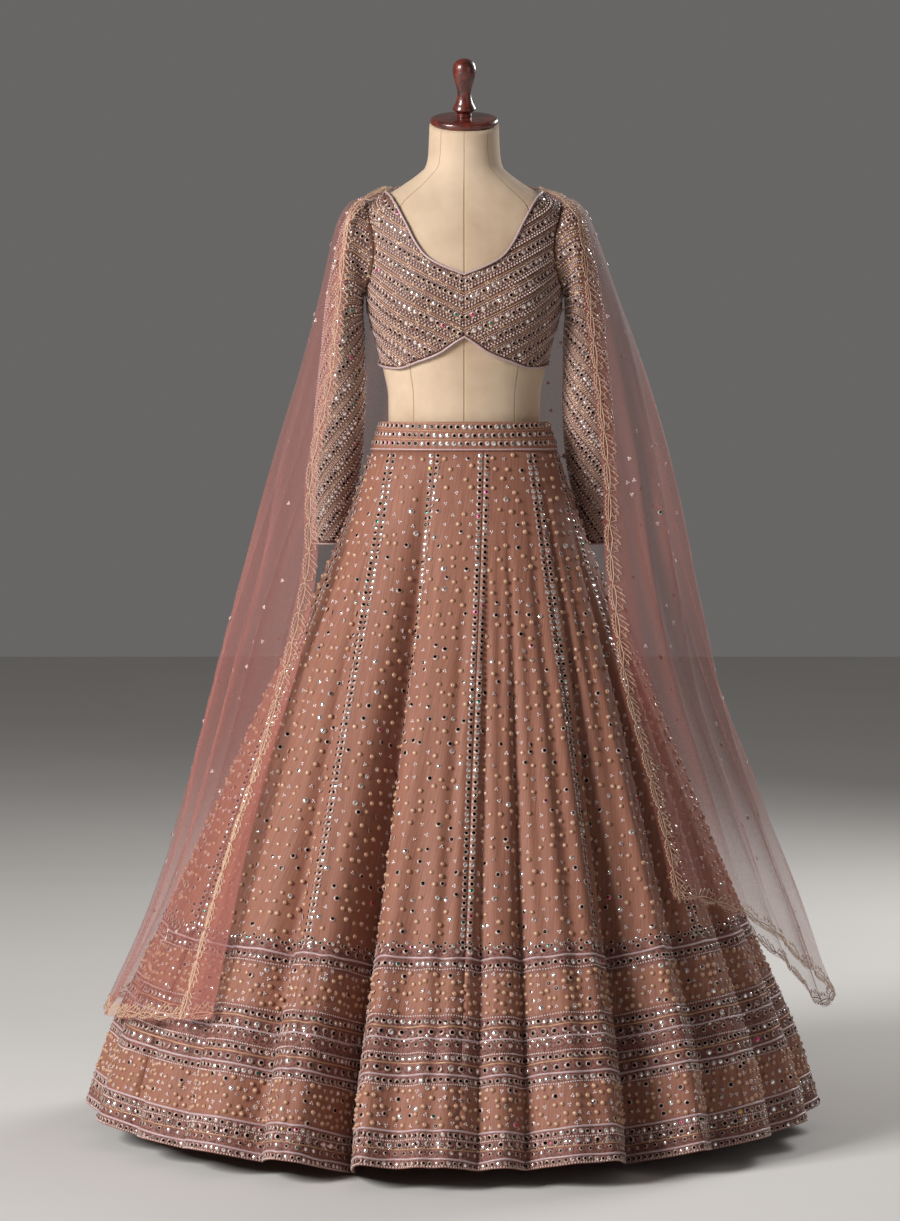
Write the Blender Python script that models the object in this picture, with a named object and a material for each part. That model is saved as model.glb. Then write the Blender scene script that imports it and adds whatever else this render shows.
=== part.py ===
"""Lehenga choli with its dupatta, worn by a limbless dress form on a pole and base.

Metres, +Z up, the wearer's front faces -Y and the viewer's right is +X.
The origin is on the floor, at the centre of the base's underside.
Every cloth piece is a thin wall with an outer and an inner skin, closed along its cut edges.
"""

import math

import bmesh
import bpy
import numpy as np

# Driving sizes, in metres
SEAM_GAP = 0.0003
SKIRT_CLOTH = 0.0016
CHOLI_CLOTH = 0.0020
SLEEVE_CLOTH = 0.0016
NET_CLOTH = 0.0010
BAND_CLOTH = 0.0026
PIPING_RADIUS = 0.0016

WAISTBAND_BOTTOM = 1.037
WAISTBAND_TOP = 1.082
HEM_HEIGHT = 0.040
NECK_TOP = 1.535
NECK_TILT = math.radians(16)
SIDE_SEAM = 90.0

BASE_RADIUS = 0.190
BASE_HEIGHT = 0.016
POLE_RADIUS = 0.014
FORM_BOTTOM = 0.840


def table(columns, rows):
    """A short table as one array for each named column."""
    return dict(zip(columns.split(), np.array(rows, float).T))


def read(data, key, column, at):
    """Reads a table's column at a key value, on a smooth curve that never overshoots the rows."""
    xs, ys = data[key], data[column]
    at = np.clip(np.asarray(at, float), xs[0], xs[-1])
    step, rise = np.diff(xs), np.diff(ys)
    slope = rise / step
    both = slope[:-1] * slope[1:]
    inner = np.where(both > 0, 2 * both / np.where(both > 0, slope[:-1] + slope[1:], 1), 0)
    tangent = np.concatenate([slope[:1], inner, slope[-1:]])
    i = np.clip(np.searchsorted(xs, at, side="right") - 1, 0, len(step) - 1)
    t = (at - xs[i]) / step[i]
    start = ys[i] * (1 + 2 * t) * (1 - t) ** 2 + ys[i + 1] * t * t * (3 - 2 * t)
    return start + step[i] * (tangent[i] * t * (1 - t) ** 2 - tangent[i + 1] * t * t * (1 - t))


def blend(a, b, share):
    return a + (b - a) * share


# The dress form: half its width, and its depth to the front and to the back, from the hips to the neck
FORM = table("z half_width front back", [
    (FORM_BOTTOM, 0.150, 0.098, 0.108),
    (0.870, 0.160, 0.106, 0.118),
    (0.920, 0.163, 0.108, 0.122),
    (0.975, 0.156, 0.104, 0.115),
    (1.037, 0.1398, 0.0960, 0.0990),
    (1.083, 0.1160, 0.087, 0.081),
    (1.120, 0.1165, 0.087, 0.079),
    (1.165, 0.1245, 0.093, 0.081),
    (1.196, 0.1285, 0.099, 0.084),
    (1.235, 0.1400, 0.108, 0.088),
    (1.265, 0.1455, 0.112, 0.091),
    (1.300, 0.1480, 0.108, 0.094),
    (1.345, 0.1500, 0.095, 0.096),
    (1.385, 0.1510, 0.080, 0.091),
    (1.402, 0.1490, 0.073, 0.085),
    (1.412, 0.1430, 0.068, 0.081),
    (1.420, 0.1320, 0.065, 0.078),
    (1.4285, 0.1180, 0.062, 0.073),
    (1.4367, 0.1035, 0.059, 0.069),
    (1.447, 0.0880, 0.0565, 0.065),
    (1.458, 0.0725, 0.0550, 0.061),
    (1.4707, 0.0590, 0.0540, 0.0570),
    (1.490, 0.0550, 0.0535, 0.0550),
    (1.550, 0.0525, 0.0525, 0.0525),
])
BUST_LIFT, BUST_ANGLE, BUST_SPREAD = 0.011, 36.0, 19.0
BUST_HEIGHT, BUST_REACH = 1.262, 0.048


def bust_lift(turn, z):
    """How far the bust stands out of the form's plain ovals."""
    off = np.abs((turn + 180) % 360 - 180) - BUST_ANGLE
    return BUST_LIFT * np.exp(-(off / BUST_SPREAD) ** 2 - ((z - BUST_HEIGHT) / BUST_REACH) ** 2)


def form_point(turn, z):
    """A point on the form's skin; turn is in degrees from the front, towards +X."""
    turn = (np.asarray(turn, float) + 180) % 360 - 180
    z = np.asarray(z, float)
    angle = np.radians(turn)
    depth = np.where(np.abs(turn) <= 90, read(FORM, "z", "front", z), read(FORM, "z", "back", z))
    bust = bust_lift(turn, z)
    x = (read(FORM, "z", "half_width", z) + bust) * np.sin(angle)
    y = -(depth + bust) * np.cos(angle)
    return np.stack(np.broadcast_arrays(x, y, z), -1)


def form_offset(turn, z, distance):
    """A point that far outside the form's skin, along its normal."""
    around = form_point(np.add(turn, 0.5), z) - form_point(np.subtract(turn, 0.5), z)
    up = form_point(turn, np.add(z, 0.002)) - form_point(turn, np.subtract(z, 0.002))
    normal = np.cross(around, up)
    normal /= np.linalg.norm(normal, axis=-1, keepdims=True)
    return form_point(turn, z) + normal * np.asarray(distance, float)[..., None]


def skin_normals(grid, closed=False):
    """The normal at each point of a grid of rows from top to bottom and columns from left to right."""
    if closed:
        around = np.roll(grid, -1, 1) - np.roll(grid, 1, 1)
    else:
        around = np.gradient(grid, axis=1)
    normal = np.cross(np.gradient(grid, axis=0), around)
    return normal / np.linalg.norm(normal, axis=-1, keepdims=True)


def cut_piece(grid, first, last):
    """The columns first to last of a grid, with both cut edges drawn in by half a seam gap."""
    columns = np.arange(first, last + 1) % grid.shape[1]
    piece = grid[:, columns].copy()
    for edge, inward in ((0, 1), (-1, -2)):
        along = piece[:, inward] - piece[:, edge]
        piece[:, edge] += along / np.linalg.norm(along, axis=-1, keepdims=True) * SEAM_GAP / 2
    return piece


def material(name, colour, roughness, metallic=0.0, alpha=1.0):
    made = bpy.data.materials.get(name) or bpy.data.materials.new(name)
    made.use_nodes = True
    shader = made.node_tree.nodes["Principled BSDF"]
    shader.inputs["Base Color"].default_value = (*colour, 1)
    shader.inputs["Roughness"].default_value = roughness
    shader.inputs["Metallic"].default_value = metallic
    shader.inputs["Alpha"].default_value = alpha
    made.diffuse_color = (*colour, alpha)
    return made


def add_solid(name, points, faces, finish):
    """One closed body, with its faces turned outwards."""
    mesh = bpy.data.meshes.new(name)
    mesh.from_pydata([tuple(p) for p in points], [], [tuple(f) for f in faces])
    body = bmesh.new()
    body.from_mesh(mesh)
    bmesh.ops.recalc_face_normals(body, faces=body.faces)
    bmesh.ops.triangulate(body, faces=[f for f in body.faces if len(f.verts) > 3])
    if body.calc_volume(signed=True) < 0:
        bmesh.ops.reverse_faces(body, faces=body.faces)
    body.to_mesh(mesh)
    body.free()
    mesh.shade_smooth()
    mesh.set_sharp_from_angle(angle=math.radians(40))
    mesh.materials.append(finish)
    made = bpy.data.objects.new(name, mesh)
    bpy.context.scene.collection.objects.link(made)
    return made


def add_wall(name, patches, finish):
    """A cloth wall from patches of (outer grid, inner grid), welded where the patches share points."""
    index, points, quads = {}, [], []
    for outer, inner in patches:
        ids = np.zeros(outer.shape[:2], int)
        for row, column in np.ndindex(ids.shape):
            key = tuple(np.round(outer[row, column], 6))
            if key not in index:
                index[key] = len(points)
                points.append((outer[row, column], inner[row, column]))
            ids[row, column] = index[key]
        for row, column in np.ndindex(ids.shape[0] - 1, ids.shape[1] - 1):
            above, below = ids[row, column:column + 2], ids[row + 1, column:column + 2]
            corners = [above[0], above[1], below[1], below[0]]
            corners = [c for n, c in enumerate(corners) if c != corners[n - 1]]
            if len(corners) > 2:
                quads.append(corners)
    count = len(points)
    edges = {}
    for quad in quads:
        for n, start in enumerate(quad):
            edges.setdefault(frozenset((quad[n - 1], start)), []).append((quad[n - 1], start))
    rims = [uses[0] for uses in edges.values() if len(uses) == 1]
    faces = [tuple(q) for q in quads]
    faces += [tuple(count + c for c in reversed(q)) for q in quads]
    faces += [(b, a, count + a, count + b) for a, b in rims]
    return add_solid(name, [p[0] for p in points] + [p[1] for p in points], faces, finish)


def closed_rings(rings):
    """Repeats the first column of a grid of rings, so that the patch closes on itself."""
    return np.concatenate([rings, rings[:, :1]], 1)


def ring_faces(rings, sides):
    """The faces between stacked rings, with a flat face over each end."""
    faces = []
    for ring in range(rings - 1):
        for n in range(sides):
            m = (n + 1) % sides
            low, high = ring * sides, (ring + 1) * sides
            faces.append((low + n, low + m, high + m, high + n))
    return faces + [tuple(range(sides)), tuple((rings - 1) * sides + n for n in range(sides))]


def add_lathe(name, profile, sides, finish, tilt=0.0, at=(0, 0, 0)):
    """A solid turned from a profile of (radius, height), closed at both ends."""
    turns = np.linspace(0, 2 * math.pi, sides, endpoint=False)
    points = [(r * math.cos(t), r * math.sin(t), z) for r, z in profile for t in turns]
    made = add_solid(name, points, ring_faces(len(profile), sides), finish)
    made.location = at
    made.rotation_euler = (tilt, 0, 0)
    return made


def add_piping(name, route, radius, finish):
    """A sewn-on cord of piping round a closed route."""
    sides = 5
    ahead = np.roll(route, -1, 0) - np.roll(route, 1, 0)
    ahead /= np.linalg.norm(ahead, axis=1, keepdims=True)
    outward = route * (1, 1, 0)
    outward -= ahead * np.sum(outward * ahead, 1)[:, None]
    outward /= np.linalg.norm(outward, axis=1, keepdims=True)
    across = np.cross(ahead, outward)
    turns = np.linspace(0, 2 * math.pi, sides, endpoint=False)
    rings = np.array([route + radius * (outward * math.cos(t) + across * math.sin(t)) for t in turns])
    count = len(route)
    faces = []
    for side in range(sides):
        for n in range(count):
            m, other = (n + 1) % count, (side + 1) % sides
            faces.append((side * count + n, side * count + m, other * count + m, other * count + n))
    return add_solid(name, rings.reshape(-1, 3), faces, finish)


# The dress form and its stand

def build_form(finish):
    """The padded torso, closed at the hips and under the neck cap."""
    sides = 32
    turns = np.linspace(-180, 180, sides, endpoint=False)
    levels = np.concatenate([FORM["z"][:-1], [1.017, 1.060, 1.512]])
    levels = np.append(np.sort(levels), NECK_TOP)
    rings = np.array([form_point(turns, z) for z in levels])
    share = np.clip((rings[..., 2] - 1.490) / (NECK_TOP - 1.490), 0, 1)
    rings[..., 2] += share * rings[..., 1] * math.tan(NECK_TILT)
    add_solid("form_torso", rings.reshape(-1, 3), ring_faces(len(levels), sides), finish)


def build_stand(wood, steel):
    """Neck cap, turned finial, pole and base."""
    cap_profile = [
        (0.048, 0.0), (0.0512, 0.0025), (0.0520, 0.006), (0.0505, 0.0095), (0.046, 0.0115), (0.018, 0.0125)]
    lean = (0, -math.sin(NECK_TILT), math.cos(NECK_TILT))
    foot = np.array((0, 0, NECK_TOP)) + SEAM_GAP * np.array(lean)
    add_lathe("neck_cap", cap_profile, 28, wood, NECK_TILT, foot)
    finial_profile = [
        (0.0110, 0.0), (0.0112, 0.0054), (0.0145, 0.0084), (0.0178, 0.0114), (0.0170, 0.0142),
        (0.0140, 0.020), (0.0112, 0.029), (0.0104, 0.036), (0.0118, 0.0445), (0.0145, 0.054),
        (0.0170, 0.0635), (0.0178, 0.0705), (0.0168, 0.078), (0.0135, 0.084), (0.0050, 0.0885)]
    top = foot + (cap_profile[-1][1] + SEAM_GAP) * np.array(lean)
    add_lathe("finial", finial_profile, 16, wood, NECK_TILT, top)
    pole_profile = [(POLE_RADIUS, BASE_HEIGHT + SEAM_GAP), (POLE_RADIUS, FORM_BOTTOM - SEAM_GAP)]
    add_lathe("pole", pole_profile, 16, steel)
    base_profile = [
        (BASE_RADIUS - 0.003, 0.0), (BASE_RADIUS, 0.003), (BASE_RADIUS, 0.010), (0.180, BASE_HEIGHT)]
    add_lathe("base", base_profile, 32, steel)


# The choli: one front, one back, two sleeves and the piping round the neck and the hem

CHOLI_EASE, BUST_EASE = 0.0018, 0.0022
ARMHOLE_MIDDLE, ARMHOLE_HALF, ARMHOLE_SWEEP, ARMHOLE_REACH = 1.3465, 0.0665, 27.0, 0.100
FRONT_NECK = table("turn z", [
    (0, 1.3020), (12, 1.3140), (22, 1.3290), (29.5, 1.3540), (36, 1.3840), (44, 1.4080), (56, 1.4200),
    (72, 1.4262), (90, 1.4285)])
BACK_NECK = table("turn z", [
    (0, 1.3400), (13, 1.3435), (24, 1.3550), (32, 1.3715), (39, 1.3895), (47, 1.4070), (58, 1.4188),
    (73, 1.4252), (90, 1.4285)])
FRONT_HEM = table("turn z", [
    (0, 1.2110), (5, 1.2040), (17, 1.1860), (31, 1.1745), (51, 1.1640), (72, 1.1670), (90, 1.1720)])
BACK_HEM = table("turn z", [(0, 1.1720), (90, 1.1720)])
SIDE_COLUMNS, BODY_ROWS = 8, 3
UNDERARM = ARMHOLE_MIDDLE - ARMHOLE_HALF


def choli_ease(turn, z):
    """The room between the form and the choli, a little more where the cloth spans the bust."""
    return CHOLI_EASE + BUST_EASE / BUST_LIFT * bust_lift(turn, z)


def armhole(share, inside=0.0):
    """The armhole's edge as (degrees in front of the side seam, height), from the underarm to the shoulder."""
    angle = math.pi * (1 - share)
    sweep = ARMHOLE_SWEEP - math.degrees(inside / ARMHOLE_REACH)
    return sweep * np.sin(angle), ARMHOLE_MIDDLE + (ARMHOLE_HALF - inside) * np.cos(angle)


def bodice_patches(neck, hem, behind):
    """Both halves of the front or of the back, as patches below and above the bottom of the neckline."""
    patches = []
    shares = np.linspace(0, 1, SIDE_COLUMNS + 1)
    seam = SIDE_SEAM - np.degrees(SEAM_GAP / 2 / 0.07)
    for side in (1, -1):
        rows = []
        for level in np.linspace(0, 1, BODY_ROWS + 1):
            turn = shares * seam
            top = UNDERARM + (neck["z"][0] - UNDERARM) * (1 - shares) ** 2
            rows.append((turn, blend(read(hem, "turn", "z", turn), top, level)))
        lower = rows
        upper = [rows[-1]]
        for n in range(1, len(neck["turn"])):
            before, height = armhole(n / (len(neck["turn"]) - 1))
            inner, outer = min(neck["turn"][n], seam), min(SIDE_SEAM - before, seam)
            upper.append((blend(inner, outer, shares), blend(neck["z"][n], height, shares)))
        for block in (lower, upper):
            turn = np.array([r[0] for r in block])
            turn = side * np.where(behind, 180 - turn, turn)
            z = np.array([r[1] for r in block])
            ease = choli_ease(turn, z)
            patches.append((form_offset(turn, z, ease + CHOLI_CLOTH), form_offset(turn, z, ease)))
    return patches


def edge_route(front, back, turns_front, turns_back, lift):
    """A closed route round the choli, through the given turns from each centre to the side seam."""
    turn = np.concatenate([turns_front, 180 - turns_back[-2::-1]])
    behind = read(back, "turn", "z", turns_back[-2::-1])
    z = np.concatenate([read(front, "turn", "z", turns_front), behind])
    turn = np.concatenate([turn, -turn[-2:0:-1]])
    z = np.concatenate([z, z[-2:0:-1]])
    return form_offset(turn, z, choli_ease(turn, z) + lift)


def build_choli(cloth, trim):
    add_wall("choli_front", bodice_patches(FRONT_NECK, FRONT_HEM, False), cloth)
    add_wall("choli_back", bodice_patches(BACK_NECK, BACK_HEM, True), cloth)
    lift = CHOLI_CLOTH + PIPING_RADIUS + SEAM_GAP
    neck = edge_route(FRONT_NECK, BACK_NECK, FRONT_NECK["turn"], BACK_NECK["turn"], lift)
    columns = np.linspace(0, SIDE_SEAM, SIDE_COLUMNS + 1)
    hem = edge_route(FRONT_HEM, BACK_HEM, columns, columns, lift)
    add_piping("neck_piping", neck, PIPING_RADIUS, trim)
    add_piping("choli_hem_piping", hem, PIPING_RADIUS, trim)


# Each row is a ring of the sleeve: its inner and outer points across, its middle and half its depth
SLEEVE = table("x_in z_in x_out z_out y_mid half_depth", [
    (0.1550, 1.2720, 0.1660, 1.4105, 0.000, 0.0460),
    (0.1560, 1.2560, 0.1830, 1.3860, 0.000, 0.0500),
    (0.1560, 1.2370, 0.1975, 1.3350, 0.001, 0.0510),
    (0.1540, 1.2150, 0.2105, 1.2650, 0.003, 0.0490),
    (0.1530, 1.1650, 0.2185, 1.1850, 0.008, 0.0460),
    (0.1530, 1.0950, 0.2280, 1.1000, 0.020, 0.0420),
    (0.1590, 1.0200, 0.2330, 1.0200, 0.038, 0.0400),
    (0.1725, 0.9550, 0.2345, 0.9550, 0.060, 0.0365),
    (0.1830, 0.8920, 0.2350, 0.8920, 0.084, 0.0340),
])
SLEEVE_SIDES = 2 * (len(FRONT_NECK["turn"]) - 1)
SLEEVE_SEAM = 0.0005
SLEEVE_START = (CHOLI_EASE, CHOLI_EASE + CHOLI_CLOTH + 0.0015)


def sleeve_rings(side, inset):
    """The sleeve's rings; inset is 0 on its outer skin and the cloth's thickness on its inner skin."""
    turns = np.linspace(0, 2 * math.pi, SLEEVE_SIDES, endpoint=False)
    share = np.arccos(np.clip(-np.cos(turns), -1, 1)) / math.pi
    before, height = armhole(share, SLEEVE_SEAM + inset)
    turn = SIDE_SEAM - np.sign(np.sin(turns)) * before
    rings = [form_offset(turn, height, np.full(turn.shape, away)) for away in SLEEVE_START]
    for n in range(len(SLEEVE["x_in"])):
        low = np.array((SLEEVE["x_in"][n], SLEEVE["y_mid"][n], SLEEVE["z_in"][n]))
        high = np.array((SLEEVE["x_out"][n], SLEEVE["y_mid"][n], SLEEVE["z_out"][n]))
        across = (high - low) / np.linalg.norm(high - low)
        half = np.linalg.norm(high - low) / 2 - inset
        depth = SLEEVE["half_depth"][n] - inset
        rings.append((low + high) / 2 + np.outer(np.cos(turns) * half, across)
                     + np.outer(-np.sin(turns) * depth, (0, 1, 0)))
    return np.array(rings) * (side, 1, 1)


def build_sleeves(cloth):
    for name, side in (("sleeve_left", -1), ("sleeve_right", 1)):
        outer, inner = sleeve_rings(side, 0.0), sleeve_rings(side, SLEEVE_CLOTH)
        add_wall(name, [(closed_rings(outer), closed_rings(inner))], cloth)


# The lehenga: a waistband and twelve flared panels whose seams run from the band to the hem

BAND_EASE = table("z ease", [
    (WAISTBAND_BOTTOM, 0.0011), (1.058, 0.0075), (1.072, 0.0115), (WAISTBAND_TOP, 0.0105)])
SEAMS = table("waist hem", [
    (-50.0, -28.5), (-18.0, -20.0), (12, -1), (45, 24), (76, 50), (104, 86), (133, 122), (162, 157),
    (192, 192), (221, 227), (250, 262), (280, 297), (310, 331.5)])
FLARE = table("slant share", [
    (0, 0), (0.072, 0.057), (0.138, 0.114), (0.275, 0.255), (0.351, 0.344), (0.536, 0.542), (0.738, 0.756),
    (0.888, 0.917), (1, 1)])
# Each row is one hanging fold: its place at the hem, its width and depth there, and where it starts
FOLDS = table("hem half_width depth start", [
    (-79, 8.0, 0.030, 0.35), (-61.5, 7.0, 0.030, 0.30), (-48.5, 6.5, 0.026, 0.28), (-34.0, 5.5, 0.042, 0.22),
    (-20.4, 4.6, 0.088, 0.08), (-10.5, 3.6, 0.024, 0.35), (1.8, 4.6, 0.026, 0.30), (9.5, 4.4, 0.036, 0.28),
    (29.5, 6.2, 0.075, 0.26), (45, 6.5, 0.040, 0.25), (61, 7.0, 0.036, 0.25), (77, 7.0, 0.038, 0.30),
    (94, 8.0, 0.042, 0.28), (111, 8.0, 0.046, 0.22), (128, 7.5, 0.040, 0.30), (146, 8.5, 0.052, 0.20),
    (163, 7.5, 0.040, 0.28), (180, 8.0, 0.046, 0.24), (197, 7.5, 0.040, 0.30), (214, 8.5, 0.052, 0.20),
    (231, 7.5, 0.040, 0.28), (248, 8.0, 0.046, 0.24), (265, 8.0, 0.036, 0.30)])
PANELS = len(SEAMS["waist"]) - 1
PANEL_COLUMNS = 10
SLANT_ROWS = np.array([0, 0.07, 0.16, 0.27, 0.39, 0.52, 0.65, 0.78, 0.90, 1.0])
HEM_REACH, HEM_LEAN = 0.573, 0.018
FOLD_SPREAD, FOLD_GROWTH, FOLD_DROP = 1.25, 1.15, 0.75


def hem_radius(hem):
    """The hem's reach on the ridges: a little more on the left than on the right."""
    return HEM_REACH - HEM_LEAN * np.sin(np.radians(hem))


def waist_ring(turn, skin):
    """The skirt's top edge, just under the waistband; skin is 0 inside and 1 outside."""
    ease = BAND_EASE["ease"][0] + 0.0004 + skin * SKIRT_CLOTH
    level = np.full(np.shape(turn), WAISTBAND_BOTTOM - SEAM_GAP)
    return form_offset(turn, level, np.full(np.shape(turn), ease))


def fold_depth(hem, slant):
    """How far the cloth falls in behind the ridges, summed over the folds."""
    total = np.zeros(np.broadcast(hem, slant).shape)
    for centre, half_width, depth, start in zip(*FOLDS.values()):
        off = ((hem - centre + 180) % 360 - 180) / (half_width * FOLD_SPREAD)
        shape = np.cos(np.clip(off, -1, 1) * math.pi / 2) ** 2
        grown = np.clip((slant - start) / (1 - start), 0, 1) ** FOLD_GROWTH
        total = np.maximum(total, depth * shape * grown)
    return total


def skirt_grid(columns, slants):
    """The skirt's outer skin at cloth columns (0 to 12, whole at the seams) and shares of the slant."""
    waist = np.interp(columns, np.arange(PANELS + 1), SEAMS["waist"])
    hem = np.interp(columns, np.arange(PANELS + 1), SEAMS["hem"])
    top = waist_ring(waist, 1)
    fine = np.linspace(0, 1, 201)[:, None]
    share = read(FLARE, "slant", "share", fine)
    end = hem_radius(hem)
    angle = np.radians(hem)
    x = blend(top[:, 0], end * np.sin(angle), share)
    y = blend(top[:, 1], -end * np.cos(angle), share)
    start = np.hypot(top[:, 0], top[:, 1])
    ridge = blend(start, end, share)
    radius = ridge - fold_depth(hem, fine)
    flat = np.hypot(x, y)
    x, y = x / flat * radius, y / flat * radius
    level = blend(WAISTBAND_BOTTOM - SEAM_GAP, HEM_HEIGHT, fine)
    length = np.hypot(np.diff(ridge, axis=0), np.diff(level, axis=0))
    fall = np.sqrt(np.maximum(length ** 2 - np.diff(radius, axis=0) ** 2, 1e-10))
    sunk = np.cumsum(fall + np.diff(level, axis=0), 0)
    z = level - FOLD_DROP * np.concatenate([np.zeros((1, len(columns))), sunk])
    grid = np.stack([x, y, z], -1)
    at = np.asarray(slants) * 200
    low = np.minimum(at.astype(int), 199)
    part = (at - low)[:, None, None]
    return grid[low] * (1 - part) + grid[low + 1] * part


def build_skirt(cloth):
    columns = np.arange(PANELS * PANEL_COLUMNS) / PANEL_COLUMNS
    outer = skirt_grid(columns, SLANT_ROWS)
    inner = outer - skin_normals(outer, closed=True) * SKIRT_CLOTH
    inner[0, :, 2] = outer[0, :, 2]
    for n in range(PANELS):
        first, last = n * PANEL_COLUMNS, (n + 1) * PANEL_COLUMNS
        patch = (cut_piece(outer, first, last), cut_piece(inner, first, last))
        add_wall(f"skirt_panel_{n + 1:02d}", [patch], cloth)


def build_waistband(cloth):
    turns = np.linspace(-180, 180, 36, endpoint=False)
    skins = []
    for thickness in (BAND_CLOTH, 0.0):
        rings = [form_offset(turns, np.full(turns.shape, z), np.full(turns.shape, ease + thickness))
                 for z, ease in zip(BAND_EASE["z"][::-1], BAND_EASE["ease"][::-1])]
        rings = np.array(rings)
        rings[0, :, 2], rings[-1, :, 2] = WAISTBAND_TOP, WAISTBAND_BOTTOM
        skins.append(closed_rings(rings))
    add_wall("waistband", [tuple(skins)], cloth)


# The dupatta: one net sheet over both shoulders, hanging open at the front and low at the sides

# Each row is a height: the reach at the side, at the front edge and at the back, and where the front edge is
LEFT_DRAPE = table("z side edge edge_turn back", [
    (0.150, 0.535, 0.520, 43.0, 0.60),
    (0.230, 0.505, 0.500, 44.3, 0.56),
    (0.340, 0.466, 0.455, 46.5, 0.50),
    (0.500, 0.418, 0.385, 50.3, 0.405),
    (0.720, 0.364, 0.288, 59.0, 0.300),
    (0.890, 0.316, 0.243, 65.0, 0.232),
    (1.000, 0.289, 0.236, 69.0, 0.196),
    (1.140, 0.252, 0.206, 71.0, 0.162),
    (1.280, 0.2200, 0.190, 72.5, 0.138),
    (1.375, 0.1985, 0.181, 74.0, 0.118),
    (1.411, 0.1810, 0.160, 78.0, 0.106),
    (1.4281, 0.1500, 0.128, 83.0, 0.098),
    (1.4374, 0.1180, 0.1185, 85.0, 0.090),
    (1.475, 0.0780, 0.078, 88.0, 0.080)])
RIGHT_DRAPE = table("z side edge edge_turn back", [
    (0.150, 0.566, 0.530, 42.0, 0.60),
    (0.230, 0.540, 0.510, 42.5, 0.56),
    (0.303, 0.513, 0.470, 43.0, 0.52),
    (0.389, 0.481, 0.428, 43.3, 0.47),
    (0.520, 0.434, 0.374, 45.6, 0.395),
    (0.617, 0.400, 0.326, 48.0, 0.345),
    (0.723, 0.3675, 0.280, 52.6, 0.300),
    (0.867, 0.3365, 0.228, 66.0, 0.240),
    (1.000, 0.312, 0.222, 69.5, 0.196),
    (1.157, 0.272, 0.203, 71.5, 0.159),
    (1.250, 0.2425, 0.1925, 72.5, 0.143),
    (1.375, 0.2000, 0.181, 74.0, 0.118),
    (1.411, 0.1810, 0.160, 78.0, 0.106),
    (1.4281, 0.1500, 0.128, 83.0, 0.098),
    (1.4374, 0.1180, 0.1185, 85.0, 0.090),
    (1.475, 0.0780, 0.078, 88.0, 0.080)])
# Each row is a level of the sheet, with its height at the front edge, at the side and at the back
LEVELS = table("edge side back", [
    (1.4380, 1.4398, 1.4740), (1.4296, 1.4332, 1.4480), (1.4110, 1.4258, 1.4200), (1.3850, 1.4130, 1.3750),
    (1.3350, 1.3750, 1.3150), (1.2700, 1.2900, 1.2200), (1.1400, 1.1700, 1.1000), (1.0000, 1.0300, 0.9900)])
LEFT_HEM = table("turn z", [
    (40, 0.222), (60, 0.200), (80, 0.180), (100, 0.172), (116, 0.180), (130, 0.28), (150, 0.42),
    (165, 0.52), (180, 0.56)])
RIGHT_HEM = table("turn z", [
    (40, 0.392), (55, 0.365), (70, 0.300), (85, 0.215), (98, 0.166), (110, 0.200), (130, 0.32),
    (150, 0.44), (165, 0.525), (180, 0.56)])
FALL_ROWS = 6
FALL_COLUMNS, BACK_COLUMNS = 12, 8
BACK_SHARE = 0.56
SKIRT_CLEARANCE = 0.009
WAVE_TOP, WAVE_DEPTH = 1.30, 0.018


def skirt_reach(turn, z):
    """The radius of the skirt's ridges at a height below the waistband, and nothing above it."""
    share = read(FLARE, "slant", "share", (WAISTBAND_BOTTOM - z) / (WAISTBAND_BOTTOM - HEM_HEIGHT))
    waist = form_point(turn, np.full(np.shape(turn), WAISTBAND_BOTTOM))
    reach = blend(np.hypot(waist[..., 0], waist[..., 1]), hem_radius(turn), share)
    return np.where(z < WAISTBAND_TOP, reach, 0)


def drape_row(level, fall, q, side, drape, hem):
    """A row of the sheet from its front edge (q = 0) to the centre back (q = 1)."""
    edge_height = blend(LEVELS["edge"][level], hem["z"][0], fall)
    edge_turn = read(drape, "z", "edge_turn", edge_height)
    turn = edge_turn + q * (180 - edge_turn)
    back = np.clip((turn - 90) / 90, 0, 1)
    front = np.clip((90 - turn) / (90 - edge_turn), 0, 1)
    z = blend(LEVELS["side"][level], LEVELS["back"][level], np.sin(back * math.pi / 2) ** 2)
    z = z + (LEVELS["edge"][level] - LEVELS["side"][level]) * front ** 2
    z = blend(z, read(hem, "turn", "z", turn), fall)
    wide, deep, edge = (read(drape, "z", c, z) for c in ("side", "back", "edge"))
    angle = np.radians(turn)
    oval = 1 / np.sqrt((np.sin(angle) / wide) ** 2 + (np.cos(angle) / deep) ** 2)
    radius = np.where(turn > 90, oval, wide + (edge - wide) * front ** 1.5)
    loose = np.clip((WAVE_TOP - z) / WAVE_TOP, 0, 1)
    wave = 0.5 + 0.5 * np.sin(np.radians(17 * turn + 40 * side)) + 0.35 * np.sin(np.radians(9.3 * turn))
    radius = radius + WAVE_DEPTH * loose * wave
    radius = np.maximum(radius, skirt_reach(side * turn, z) + SKIRT_CLEARANCE)
    return np.stack([side * radius * np.sin(angle), -radius * np.cos(angle), z], -1)


def drape_side(side, drape, hem):
    """Half of the sheet as a grid, from its front edge to the centre back."""
    fall_q = np.linspace(0, 1, FALL_COLUMNS + 1) ** 1.1 * BACK_SHARE
    back_q = np.linspace(BACK_SHARE, 1, BACK_COLUMNS + 1)[1:]
    q = np.concatenate([fall_q, back_q])
    last = len(LEVELS["edge"]) - 1
    rows = [drape_row(level, 0.0, q, side, drape, hem) for level in range(last + 1)]
    rows += [drape_row(last, fall, q, side, drape, hem) for fall in np.linspace(0, 1, FALL_ROWS + 1)[1:]]
    return np.array(rows)


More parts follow.
